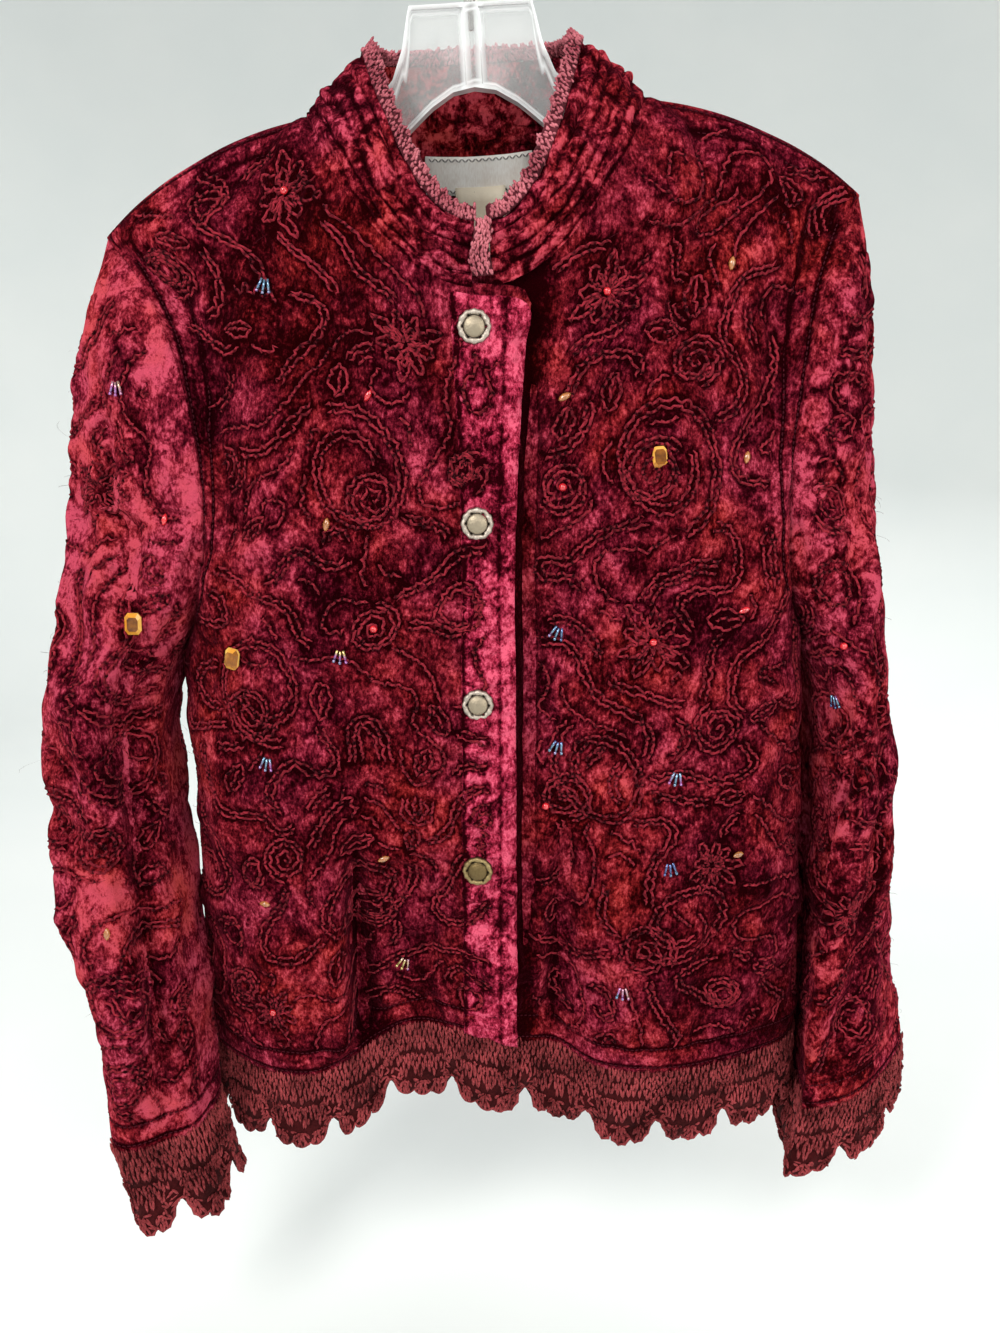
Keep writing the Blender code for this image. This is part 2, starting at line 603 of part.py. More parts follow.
# Stand collar: a band from the neckline to a smaller loop above it, open at the centre front
COLLAR_TOP_HALF = 0.061
COLLAR_TOP_DROP = {FRONT: 0.2000, BACK: 0.0980}
COLLAR_SIDE_DROP = 0.1010
COLLAR_TOP_Y = {FRONT: -0.060, BACK: 0.034}
COLLAR_SIDE_Y = 0.000
COLLAR_BOW = 0.003
COLLAR_GAP = 0.0011
COLLAR_LEVELS = (0, 0.3, 0.65, 1.0)
TRIM_HEIGHT = 0.009
TRIM_WALL = 0.0024
END_TRIM_S = 0.018


def collar(face, s, level):
    """Collar cloth: level 0 on the neckline, 1 on the top edge, above 1 the edging; bowed out between."""
    x_low, y_low, drop_low = top_edge(face, s)
    across = np.sin(np.clip(np.abs(s) / S_NECK, 0, 1) * math.pi / 2)
    x_high = np.sign(s) * COLLAR_TOP_HALF * across
    reach = neck_reach(across)
    front = face == FRONT
    top_y = np.where(front, COLLAR_TOP_Y[FRONT], COLLAR_TOP_Y[BACK])
    top_drop = np.where(front, COLLAR_TOP_DROP[FRONT], COLLAR_TOP_DROP[BACK])
    y_high = COLLAR_SIDE_Y + (top_y - COLLAR_SIDE_Y) * reach
    drop_high = top_drop + (COLLAR_SIDE_DROP - top_drop) * across ** np.where(front, 2.3, 2.0)
    low, high = np.stack([x_low, y_low, -drop_low], -1), np.stack([x_high, y_high, -drop_high], -1)
    bow = COLLAR_BOW * np.sin(np.pi * np.clip(level, 0, 1))
    outward = np.stack([np.sign(s) * across, np.where(front, -1, 1) * reach, 0 * s], -1)
    return low + (high - low) * level[..., None] + bow[..., None] * outward


def collar_path():
    """Face and column of each station round the neck, from the right front end by the back to the left."""
    front = S_FRONT[(S_FRONT > 0) & (S_FRONT <= S_NECK + 1e-9)]
    back = S_BACK[np.abs(S_BACK) < S_NECK - 1e-9]
    s = np.concatenate([-front, back, front[::-1]])
    face = np.where(np.arange(len(s)) < len(front), FRONT, BACK)
    return np.where(np.arange(len(s)) >= len(front) + len(back), FRONT, face), s


def collar_points(face, s, level):
    return np.where((face == FRONT)[..., None], collar(FRONT, s, level), collar(BACK, s, level))


def collar_walls(levels):
    """Inner and outer grids of the collar; the neckline row takes the panels' normals."""
    face, s = collar_path()
    face, level = np.meshgrid(face, np.array(levels, float))
    s = np.broadcast_to(s, level.shape)
    outer = collar_points(face, s, level)
    rise = collar_points(face, s, level + 0.02) - collar_points(face, s, level - 0.02)
    normal = unit(np.cross(rise, np.gradient(outer, axis=1)))
    ahead, behind = panel_normal(FRONT, s[0], 0 * s[0]), panel_normal(BACK, s[0], 0 * s[0])
    seam = np.where((face[0] == FRONT)[:, None], ahead, behind)
    normal[0] = seam if levels[0] == 0 else normal[0]
    return outer - WALL * normal, outer, normal


inner, outer, normal = collar_walls(COLLAR_LEVELS)
wall("collar", "velvet", pull_in(inner, ("top",), COLLAR_GAP), pull_in(outer, ("top",), COLLAR_GAP))

# Collar edging: a strip that carries the collar's slope on above its top edge
slope = unit(outer[-1] - outer[-2])
strip = np.stack([outer[-1] + slope * up for up in (SEAM, TRIM_HEIGHT / 2, TRIM_HEIGHT)])
face_out = normal[-1] * (TRIM_WALL - WALL) / 2
wall("collar_trim", "trim", strip + face_out - TRIM_WALL * normal[-1], strip + face_out)

# Collar end edging: the same strip, down over the two ends where they meet
s, level = np.meshgrid(np.linspace(-END_TRIM_S, END_TRIM_S, 3), np.linspace(0.10, 1.0, 5))
low_face = collar(FRONT, s, level) - [0, SEAM + 0.0003, 0]
wall("collar_end_trim", "trim", low_face, low_face - [0, TRIM_WALL, 0])

# Lace: crochet edging hung from hem and cuffs, its lower edge in fans of three lobes
LACE_WALL = 0.0022
LACE_REPEAT = 0.043
LACE_SPANS = 8
LACE_STEP = 0.004
LACE_BASE = 0.038
FAN_DROP = 0.012
LOBE_DROP = 0.005
CUFF_LACE_SCALE = {"right": 1.06, "left": 0.86}
CUFF_FLARE = {"right": 0.0, "left": 0.005}
CUFF_LEAN = {"right": 0.011, "left": -0.006}
CUFF_GAP = 0.0008


def scallop(repeats):
    """Drop of the lace's lower edge: round fans, one a repeat, each with three small lobes."""
    place = repeats % 1
    fan = np.sqrt(np.maximum(1 - np.abs(2 * place - 1) ** 3, 0))
    return LACE_BASE + FAN_DROP * fan + LOBE_DROP * np.abs(np.sin(3 * math.pi * place)) ** 0.7


def even_places(curve, low, high, spans):
    """Places between low and high that divide a curve into equal lengths."""
    fine = np.linspace(low, high, 600)
    steps = np.linalg.norm(np.diff(curve(fine), axis=0), axis=1)
    length = np.concatenate([[0], np.cumsum(steps)])
    return np.interp(np.linspace(0, length[-1], spans + 1), length, fine), length[-1]


def body_below(face, s, drop, lap):
    x, y = ring(face, s, drop)
    return np.stack([x, y + lap_step(x, lap), -drop], -1)


for name, face, ends, lap, seams in (
    ("hem_lace_right", FRONT, (S_LAP, -1), -1, ("last",)),
    ("hem_lace_left", FRONT, (-S_LAP, 1), 1, ("last",)),
    ("hem_lace_back", BACK, (-1, 1), 0, ("first", "last")),
):
    at_hem = lambda s: body_below(face, s, HEM_DROP + 0 * s, lap)
    length = even_places(at_hem, *ends, 1)[1]
    repeats = round(length / LACE_REPEAT)
    s = even_places(at_hem, *ends, repeats * LACE_SPANS)[0]
    edge = scallop(np.arange(len(s)) / LACE_SPANS)
    s, part = np.meshgrid(s, (0, 0.5, 1))
    drop = HEM_DROP + SEAM + (edge - SEAM) * part
    outer = body_below(face, s, drop, lap)
    s_low, s_high = np.clip(s - LACE_STEP, -1, 1), np.clip(s + LACE_STEP, -1, 1)
    beside = body_below(face, s_high, drop, lap) - body_below(face, s_low, drop, lap)
    normal = unit(face * np.cross(beside, [0, 0, -1]))
    wall(name, "crochet", pull_in(outer - LACE_WALL * normal, seams), pull_in(outer, seams))

for side in SLEEVES:
    at_cuff = lambda turn: sleeve(side, turn, cuff_edge(side, turn))
    length = even_places(at_cuff, -1, 1, 1)[1]
    repeats = round(length / LACE_REPEAT)
    turn = even_places(at_cuff, -1, 1, repeats * LACE_SPANS)[0][:-1]
    edge = CUFF_LACE_SCALE[side] * scallop(np.arange(len(turn)) / LACE_SPANS)
    turn, part = np.meshgrid(turn, (0, 0.5, 1))
    drop = cuff_edge(side, turn) + CUFF_GAP + (edge - CUFF_GAP) * part
    normal = sleeve_normal(side, turn, drop)
    outer = sleeve(side, turn, drop) + (CUFF_FLARE[side] * part)[..., None] * normal
    outer[..., 0] += CUFF_LEAN[side] * part
    wall("cuff_lace_" + side, "crochet", outer - LACE_WALL * normal, outer, closed=True)

# Buttons: turned domes standing on the band, on the centre line
BUTTON_SIDES = 16
BUTTON_DROPS = (0.2535, 0.3575, 0.4615, 0.5655)
BUTTON_S = -0.010
BUTTON_PROFILE = table(
    "radius height",
    (0.0076, 0.0000),
    (0.0090, 0.0012),
    (0.0089, 0.0026),
    (0.0075, 0.0031),
    (0.0062, 0.0040),
    (0.0034, 0.0053),
)
BUTTON_TOP = 0.0058


def rise_from(name, look, outlines, heights, centre, out, up, tip=None):
    """A solid of stacked outlines that stand on a face; tip closes it in a point, else its top is flat."""
    out = unit(out)
    across = unit(np.cross(up, out))
    up = np.cross(out, across)
    many = len(outlines[0])
    points = [centre + x * across + y * up + h * out for line, h in zip(outlines, heights) for x, y in line]
    faces = [list(range(many))]
    for k in range(len(outlines) - 1):
        for c in range(many):
            d = (c + 1) % many
            faces.append([k * many + c, k * many + d, (k + 1) * many + d, (k + 1) * many + c])
    top = (len(outlines) - 1) * many
    if tip is None:
        faces.append([top + c for c in range(many)])
    else:
        points.append(centre + tip * out)
        faces += [[top + c, top + (c + 1) % many, len(points) - 1] for c in range(many)]
    return solid(name, look, points, faces)


def panel_place(face, s, drop, lap):
    """A panel's face and its normal at a column and a drop."""
    s = np.array([s])
    top = top_edge(face, s)[2]
    v = (drop - top) / (HEM_DROP - top)
    return panel(face, s, v, lap)[0], panel_normal(face, s, v, lap)[0]


angles = np.arange(BUTTON_SIDES) * 2 * math.pi / BUTTON_SIDES
circle = np.stack([np.cos(angles), np.sin(angles)], -1)
for number, drop in enumerate(BUTTON_DROPS, 1):
    place, out = panel_place(FRONT, BUTTON_S, drop, -1)
    rings = [radius * circle for radius in BUTTON_PROFILE["radius"]]
    heights = BUTTON_PROFILE["height"]
    seat = hang(place + (BAND_OUT + SEAM) * out)
    rise_from(f"button_{number}", "antique", rings, heights, seat, out, (0, 0, 1), BUTTON_TOP)

# Stones: the three large step-cut ones, sewn flat on the cloth
STONE_HALF = np.array([0.0046, 0.0063])
STONE_CORNER = 0.62
STONE_STEPS = table("height size", (0.0, 0.92), (0.0010, 1.0), (0.0022, 1.0), (0.0040, 0.66))
right_side = np.array([(STONE_CORNER, -1), (1, -STONE_CORNER), (1, STONE_CORNER), (STONE_CORNER, 1)])
outline = np.concatenate([right_side, -right_side])
STONE_SEAT = 0.0005
SLEEVE_STONE_TURN, SLEEVE_STONE_DROP = np.array([0.59]), np.array([0.410])
SEATS = {
    "stone_sleeve": ("sleeve_right", sleeve("right", SLEEVE_STONE_TURN, SLEEVE_STONE_DROP)[0], (0.05, 0, 1)),
    "stone_right": ("front_right", panel_place(FRONT, -0.570, 0.4346, -1)[0], (0.2, 0, 1)),
    "stone_left": ("front_left", panel_place(FRONT, 0.355, 0.3262, 1)[0], (-0.1, 0, 1)),
}
for name, (cloth, place, up) in SEATS.items():
    found, seat, out, number = bpy.data.objects[cloth].closest_point_on_mesh(hang(place))
    steps = [size * STONE_HALF * outline for size in STONE_STEPS["size"]]
    across = unit(np.cross(up, out))
    along = np.cross(out, across)
    rim = np.concatenate([steps[1], (steps[1] + np.roll(steps[1], 1, axis=0)) / 2])
    under = [seat + Vector(x * across + y * along) for share in (0.5, 1) for x, y in share * rim]
    highest = max((bpy.data.objects[cloth].closest_point_on_mesh(p)[1] - p).dot(out) for p in under)
    seat = seat + (max(highest, 0) + STONE_SEAT) * out
    rise_from(name, "amber", steps, STONE_STEPS["height"], np.array(seat), np.array(out), up)

# Neck label and size tag: woven strips inside the back neck
LABEL_WALL = 0.0008
LABEL_IN = -(WALL + SEAM + 0.0002)
TAG_IN = LABEL_IN - LABEL_WALL - SEAM
LABEL_V = (0.0055, 0.018, 0.044)
TAG_V = (0.036, 0.050, 0.108)
TAG_S = np.array([-0.034, 0, 0.034])
label_s = S_BACK[np.abs(S_BACK) <= S_LABEL + 1e-9]
inner, outer = panel_walls(BACK, label_s, LABEL_V, 0, LABEL_IN, LABEL_WALL)
wall("neck_label", "woven", inner, outer)
inner, outer = panel_walls(BACK, TAG_S, TAG_V, 0, TAG_IN, LABEL_WALL)
wall("size_tag", "woven", inner, outer)

# Hanger: an I section carried along its arms, with a rib in the middle of the neck
HANGER_UNDER_RIDGE = 0.0047
FLANGE_HALF = 0.004
FLANGE = 0.0022
WEB_HALF = 0.0012
RIB_HALF = 0.0042
HANGER_TOP = 0.0795
UPPER = table(
    "x drop",
    (0.0000, HANGER_TOP),
    (0.0340, HANGER_TOP),
    (0.0356, 0.0860),
    (0.0390, 0.1005),
    (0.0455, 0.1157),
    (0.0550, 0.1250),
    (0.0750, 0.1318),
)
LOWER = table(
    "x drop",
    (0.000, 0.1215),
    (0.012, 0.1235),
    (0.025, 0.1310),
    (0.043, 0.1460),
    (0.070, 0.1600),
    (0.095, 0.1680),
    (0.130, 0.1760),
    (0.176, 0.1900),
)
NECK_STATIONS = (0, 0.0042, 0.0050, 0.015, 0.025, 0.032, 0.034, 0.0356, 0.039, 0.0455, 0.055, 0.065, 0.075)
ARM_STATIONS = (0.095, 0.115, 0.135, 0.155, 0.170, 0.176)
RIB_END = 0.0045
ARM_END = 0.172
ARM_END_HALF = 0.003
ARM_END_WEB = 0.0028
ARM_STEEPNESS = 0.4
FLANGE_LIMIT = 0.012
SLOPE_STEP = 0.001


def hanger_top(x):
    """Drop of the hanger's upper edge: the neck's own line, then the shoulder's, a little under the cloth."""
    arm = SHOULDER["drop"] + HANGER_UNDER_RIDGE
    return np.interp(x, np.append(UPPER["x"], SHOULDER["x"]), np.append(UPPER["drop"], arm))


def hanger_section(x):
    """Twelve corners of the I section at x; steep stretches keep the flange's thickness across the slope."""
    far = abs(x)
    upper = hanger_top(far)
    lower = np.interp(far, LOWER["x"], LOWER["drop"])
    rise = hanger_top(far + SLOPE_STEP) - hanger_top(max(far - SLOPE_STEP, 0))
    steep = abs(rise) / (2 * SLOPE_STEP) if far < NECK_HALF else ARM_STEEPNESS
    flange = min(FLANGE * math.hypot(1, steep), FLANGE_LIMIT)
    web = RIB_HALF if far < RIB_END else WEB_HALF
    wide = max(FLANGE_HALF, web)
    if far > ARM_END:
        wide, web = ARM_END_HALF, ARM_END_WEB
    right_top = [(wide, upper), (wide, upper + flange), (web, upper + flange)]
    right = right_top + [(web, lower - FLANGE), (wide, lower - FLANGE), (wide, lower)]
    loop = right + [(-y, drop) for y, drop in reversed(right)]
    return [(x, RIDGE_Y + y, -drop) for y, drop in loop]


def carried(name, look, points, sides):
    """A solid carried from one section to the next, each with the same count of corners, with flat ends."""
    last = len(points) // sides - 1
    faces = [list(range(sides)), [last * sides + c for c in range(sides)]]
    for k in range(last):
        for c in range(sides):
            d = (c + 1) % sides
            faces.append([k * sides + c, k * sides + d, (k + 1) * sides + d, (k + 1) * sides + c])
    return solid(name, look, hang(np.array(points)), faces)


stations = NECK_STATIONS + ARM_STATIONS
xs = [-x for x in reversed(stations[1:])] + list(stations)
carried("hanger", "clear", [corner for x in xs for corner in hanger_section(x)], 12)

# Hook: one wire, from a ferrule on the hanger's neck round over the rod; its inside top is the origin
WIRE = 0.0018
FERRULE = 0.0034
FERRULE_HEIGHT = 0.005
HOOK_INNER = 0.022
HOOK_START, HOOK_END = math.radians(-38), math.radians(205)
HOOK_SIDES = 8
HOOK_STEPS = 17
STEM_TOP = 0.062
FERRULE_STEP = 0.0006
BEND_PULL = 0.011


def hook_path():
    """Centre line and radius of the wire: ferrule, stem, a bend to one side, then the arc over the top."""
    middle = HOOK_INNER + WIRE
    low = -HANGER_TOP + SEAM
    high = low + FERRULE_HEIGHT
    path = [(0, low, FERRULE), (0, high, FERRULE), (0, high + FERRULE_STEP, WIRE)]
    turns = np.linspace(HOOK_START, HOOK_END, HOOK_STEPS)
    arc = [(middle * math.cos(a), -HOOK_INNER + middle * math.sin(a)) for a in turns]
    start, end = np.array([0, -STEM_TOP]), np.array(arc[0])
    leave = start + [0, BEND_PULL]
    arrive = end - BEND_PULL * np.array([-math.sin(HOOK_START), math.cos(HOOK_START)])
    for t in np.linspace(0, 1, 6)[:-1]:
        x, z = (1 - t) ** 3 * start + 3 * (1 - t) ** 2 * t * leave + 3 * (1 - t) * t**2 * arrive + t**3 * end
        path.append((x, z, WIRE))
    return np.array(path + [(x, z, WIRE) for x, z in arc])


path = hook_path()
tangent = unit(np.gradient(path[:, :2], axis=0))
tangent[:4] = [0, 1]
points = []
for (x, z, radius), (dx, dz) in zip(path, tangent):
    for k in range(HOOK_SIDES):
        a = 2 * math.pi * (k + 0.5) / HOOK_SIDES
        out, side = radius * math.cos(a), radius * math.sin(a)
        points.append((x + out * dz, RIDGE_Y + side, z - out * dx))
carried("hook", "wire", points, HOOK_SIDES)
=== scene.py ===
"""Velvet jacket on a clear hanger: every piece's finished surface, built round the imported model.

Metres, +Z up, front towards -Y; right and left are the wearer's. Heights are drops below the hook's rod.
"""

import functools
import json
import math

import bpy
import numpy as np
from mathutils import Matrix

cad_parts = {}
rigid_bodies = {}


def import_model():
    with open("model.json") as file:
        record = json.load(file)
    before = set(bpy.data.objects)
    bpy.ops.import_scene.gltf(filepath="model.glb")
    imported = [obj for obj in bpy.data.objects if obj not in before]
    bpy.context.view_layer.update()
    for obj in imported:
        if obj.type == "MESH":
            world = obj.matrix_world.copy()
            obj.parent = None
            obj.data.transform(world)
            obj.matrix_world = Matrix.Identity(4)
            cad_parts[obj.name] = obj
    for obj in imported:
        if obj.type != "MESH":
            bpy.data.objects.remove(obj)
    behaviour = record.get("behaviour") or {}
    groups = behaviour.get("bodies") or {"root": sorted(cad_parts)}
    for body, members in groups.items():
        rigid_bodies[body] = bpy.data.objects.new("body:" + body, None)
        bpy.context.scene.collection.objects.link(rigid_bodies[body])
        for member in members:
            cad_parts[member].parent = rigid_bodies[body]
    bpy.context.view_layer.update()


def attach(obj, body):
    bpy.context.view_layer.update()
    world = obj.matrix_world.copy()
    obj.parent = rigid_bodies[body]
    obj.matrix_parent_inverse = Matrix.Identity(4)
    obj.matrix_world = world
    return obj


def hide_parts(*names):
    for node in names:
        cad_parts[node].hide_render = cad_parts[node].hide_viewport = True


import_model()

# Fronts: two velvet panels cut with neckline, shoulder, armhole, side and hem, quilted by the embroidery.
# The right one laps over the left. They hang from the shoulders, swell over the chest and fall in long folds.
FRONT, BACK = -1, 1
NECK_HALF = 0.095
SHOULDER_HALF = 0.218
CHEST_HALF = 0.1885
NECK_POINT_DROP = 0.1317
UNDERARM_DROP = 0.436
HEM_DROP = 0.708
SQUARENESS = {"right": 2.7, "left": 3.3}
LEFT_ARMHOLE_OUT = 0.014
RIDGE_Y = -0.003
SIDE_Y = -0.004
RIDGE_ROUND = 0.009
ROUND_FADE = (0.10, 0.08)
BULGE = 1.7
NECK_DROP = {FRONT: 0.2312, BACK: 0.1435}
NECK_DEPTH = {FRONT: 0.063, BACK: 0.042}
NECK_SQUARENESS = 2.2
LAP_REACH = 0.018
LAP_STEP = 0.0030
LAP_FADE = (0.022, 0.060)
LAP_CORNER = 0.019
COLLAR_END_S = 0.012
HANGER_TILT = math.tan(math.radians(3.0))
TILT_FULL_DROP = 0.19
TILT_END_DROP = 0.52
TILT_LEFT_AT_HEM = 0.35
SHIFT_DROP = 0.21
S_NECK = 0.34
S_TIP = 0.64
S_LAP = 2 / math.pi * math.asin(LAP_REACH / CHEST_HALF)
LEAN_START = (0.70, 0.80)
FOLD_START = 0.40
FOLD_FADE = 1.5
CLOTH = 0.0016


def table(columns, *rows):
    """A short table whose columns are read by name; the first one is the key."""
    names = columns.split()
    found = dict(zip(names, np.array(rows, float).T))
    found["key"] = found[names[0]]
    return found


def rows_of(found, columns):
    """The rows of a table, each as the named values."""
    return zip(*(found[name] for name in columns.split()))


BODY = table(
    "drop half_right half_left front back",
    (0.436, CHEST_HALF, 0.1960, 0.0690, 0.0600),
    (0.560, 0.1875, 0.2050, 0.0720, 0.0620),
    (0.640, 0.1890, 0.2095, 0.0700, 0.0640),
    (0.708, 0.1905, 0.2120, 0.0670, 0.0660),
    (0.770, 0.1915, 0.2130, 0.0650, 0.0670),
)
SHOULDER = table(
    "x drop",
    (0.095, 0.1317),
    (0.119, 0.1364),
    (0.141, 0.1430),
    (0.162, 0.1520),
    (0.180, 0.1610),
    (0.200, 0.1740),
    (0.218, 0.1890),
)
ARMHOLE = table(
    "along x depth drop",
    (0.00, 0.2180, 0.000, 0.1890),
    (0.13, 0.1985, 0.018, 0.2110),
    (0.30, 0.1800, 0.035, 0.2420),
    (0.50, 0.1660, 0.045, 0.2900),
    (0.68, 0.1610, 0.048, 0.3450),
    (0.85, 0.1680, 0.038, 0.4000),
    (1.00, CHEST_HALF, 0.000, 0.4360),
)
FOLDS = {
    FRONT: table(
        "x half_width out",
        (-0.128, 0.036, 0.013),
        (-0.050, 0.030, -0.013),
        (0.013, 0.020, 0.003),
        (0.050, 0.020, -0.012),
        (0.118, 0.045, 0.009),
    ),
    BACK: table(
        "x half_width out",
        (-0.110, 0.036, 0.008),
        (-0.030, 0.034, -0.010),
        (0.055, 0.034, 0.008),
        (0.125, 0.030, -0.006),
    ),
}
HEM_LIFTS = table(
    "x lift",
    (-0.130, 0.000),
    (-0.102, 0.001),
    (-0.084, 0.009),
    (-0.070, 0.017),
    (0.024, 0.018),
    (0.046, 0.010),
    (0.066, 0.001),
    (0.090, 0.000),
)
LIFT_START = 0.50
LIFT_DEPTHS = (0.01, 0.045)


def smooth(rows, column, at):
    """Smooth curve through a column: cubic pieces whose slopes are the mean slopes at the rows."""
    keys, values = rows["key"], rows[column]
    slopes = np.gradient(values, keys)
    i = np.clip(np.searchsorted(keys, at) - 1, 0, len(keys) - 2)
    step = keys[i + 1] - keys[i]
    t = np.clip((at - keys[i]) / step, 0, 1)
    ends = (2 * t**3 - 3 * t**2 + 1) * values[i] + (3 * t**2 - 2 * t**3) * values[i + 1]
    turns = (t**3 - 2 * t**2 + t) * slopes[i] + (t**3 - t**2) * slopes[i + 1]
    return ends + step * turns


def ease(value, low, high):
    """0 below low, 1 above high, with a soft step between."""
    t = np.clip((value - low) / (high - low), 0, 1)
    return t * t * (3 - 2 * t)


def unit(vectors):
    """Vectors at length 1."""
    return vectors / np.maximum(np.linalg.norm(vectors, axis=-1, keepdims=True), 1e-12)


def hem_lift(x, y, drop):
    """How far the front's hem is caught up: a curve across it, growing towards the hem."""
    return smooth(HEM_LIFTS, "lift", x) * ease(drop, LIFT_START, HEM_DROP) * ease(-y, *LIFT_DEPTHS)


def hang(points):
    """The hanger leans: shoulders turn with it about the hook, and the cloth below falls straight again."""
    x, y, z = np.moveaxis(points, -1, 0)
    z = z + hem_lift(x, y, -z)
    lean = 1 - (1 - TILT_LEFT_AT_HEM) * ease(-z, TILT_FULL_DROP, TILT_END_DROP)
    x_hung = x + HANGER_TILT * np.minimum(-z, SHIFT_DROP)
    return np.stack([x_hung, y - RIDGE_Y, z + HANGER_TILT * x * lean], -1)


def bells(rows, place):
    """Soft bells across a row of folds, by each one's middle, half width and outward height, summed."""
    found = rows_of(rows, "key half_width out")
    return sum(out * np.exp(-(((place - at) / half) ** 2)) for at, half, out in found)


def fold_out(face, x, drop):
    """Outward move of the long hem folds: a bell across each, growing downwards."""
    return bells(FOLDS[face], x) * ease(drop, FOLD_START, HEM_DROP)


def ring(face, s, drop):
    """Body tube at a drop: across by the sine of s, depth by a squared-off ellipse, then the folds."""
    across = np.sin(s * math.pi / 2)
    square = np.where(s > 0, SQUARENESS["left"], SQUARENESS["right"])
    deep = np.maximum(1 - np.abs(across) ** square, 0) ** (1 / square)
    x = np.where(s > 0, smooth(BODY, "half_left", drop), smooth(BODY, "half_right", drop)) * across
    depth = smooth(BODY, "front" if face == FRONT else "back", drop) * deep
    depth = depth + fold_out(face, x, drop) * np.minimum(deep * FOLD_FADE, 1)
    return x, SIDE_Y + face * depth


def neck_reach(across):
    """Forward or backward reach of the neck's loop, by a squared-off ellipse."""
    return np.maximum(1 - across**NECK_SQUARENESS, 0) ** (1 / NECK_SQUARENESS)


def top_edge(face, s):
    """x, y and drop of a panel's upper edge: neckline, shoulder, then armhole down to the underarm."""
    far = np.abs(s)
    across = np.sin(np.clip(far / S_NECK, 0, 1) * math.pi / 2)
    neck_y = RIDGE_Y + face * NECK_DEPTH[face] * neck_reach(across)
    neck_drop = NECK_DROP[face] + (NECK_POINT_DROP - NECK_DROP[face]) * across**2
    shoulder_x = NECK_HALF + (SHOULDER_HALF - NECK_HALF) * np.clip((far - S_NECK) / (S_TIP - S_NECK), 0, 1)
    along = np.clip((far - S_TIP) / (1 - S_TIP), 0, 1)
    arm_y = RIDGE_Y + (SIDE_Y - RIDGE_Y) * along + face * smooth(ARMHOLE, "depth", along)
    wider = BODY["half_left"][0] - BODY["half_right"][0]
    left_out = LEFT_ARMHOLE_OUT * np.sin(math.pi * along) + wider * along**2
    arm_x = smooth(ARMHOLE, "x", along) + (s > 0) * left_out
    at_neck, at_arm = far < S_NECK, far > S_TIP
    x = np.where(at_neck, NECK_HALF * across, np.where(at_arm, arm_x, shoulder_x))
    y = np.where(at_neck, neck_y, np.where(at_arm, arm_y, RIDGE_Y))
    shoulder_drop = smooth(SHOULDER, "drop", shoulder_x)
    drop = np.where(at_neck, neck_drop, np.where(at_arm, smooth(ARMHOLE, "drop", along), shoulder_drop))
    return np.sign(s) * x, y, drop


EDGE_S = np.linspace(S_NECK, 1, 800)
LEFT_EDGE_X, _, EDGE_DROPS = top_edge(FRONT, EDGE_S)
RIGHT_EDGE_X = -top_edge(FRONT, -EDGE_S)[0]
EDGE_Y = {face: top_edge(face, EDGE_S)[1] for face in (FRONT, BACK)}


def lean_in(face, s, drop):
    """x and y of a column above the underarm: its place there, moved by a share of the edge's own offset."""
    edge_s = np.interp(drop, EDGE_DROPS, EDGE_S)
    x_edge = np.interp(drop, EDGE_DROPS, LEFT_EDGE_X)
    x_edge = np.where(s > 0, x_edge, -np.interp(drop, EDGE_DROPS, RIGHT_EDGE_X))
    y_edge = np.interp(drop, EDGE_DROPS, EDGE_Y[face])
    x_tube, y_tube = ring(face, np.where(s > 0, edge_s, -edge_s), UNDERARM_DROP + 0 * s)
    x, y = ring(face, s, UNDERARM_DROP + 0 * s)
    share = np.abs(s) / edge_s
    return x + (x_edge - x_tube) * share, y + (y_edge - y_tube) * share**2 * ease(edge_s, *LEAN_START)


def lap_step(x, lap):
    """How far the front that lies under stands back near the centre line."""
    return LAP_STEP * (1 - ease(x, *LAP_FADE)) * (lap > 0)


def edge_drop(face, s, lap=0):
    """Drop of a panel's upper edge; a lapping front's corner is rounded off past the centre line."""
    past = np.clip((COLLAR_END_S - lap * s) / (COLLAR_END_S + S_LAP), 0, 1)
    return top_edge(face, s)[2] + LAP_CORNER * (1 - np.sqrt(1 - past**2)) * abs(lap)


def panel(face, s, drop, lap=0):
    """Cloth of the body: each column falls from the upper edge to the hem.

    Above the underarm the columns lean with the armhole, and the depth swells from the edge to that of the
    tube; shoulders start with a small round. lap is -1 on the front that lies over, 1 on the one under it.
    """
    x_top, y_top, _ = top_edge(face, s)
    drop_top = edge_drop(face, s, lap)
    x_tube, y_tube = ring(face, s, np.maximum(drop, UNDERARM_DROP))
    fall = drop - drop_top
    part = np.clip(fall / np.maximum(UNDERARM_DROP - drop_top, 1e-6), 0, 1)
    x_lean, y_lean = lean_in(face, s, drop)
    x_fall = x_lean + (x_top - lean_in(face, s, drop_top)[0]) * (1 - part) ** 2
    far = np.abs(s)
    rounded = ease(far, S_NECK - ROUND_FADE[0], S_NECK) * (1 - ease(far, S_TIP, S_TIP + ROUND_FADE[1]))
    lift = RIDGE_ROUND * np.sqrt(1 - (1 - np.clip(fall / RIDGE_ROUND, 0, 1)) ** 2) * rounded * (1 - part)
    y_fall = y_top + (y_lean - y_top) * (1 - (1 - part) ** BULGE) + face * lift
    above = drop < UNDERARM_DROP
    x = np.where(above, x_fall, x_tube)
    y = np.where(above, y_fall, y_tube)
    return np.stack([x, y + lap_step(x, lap), -drop], -1)


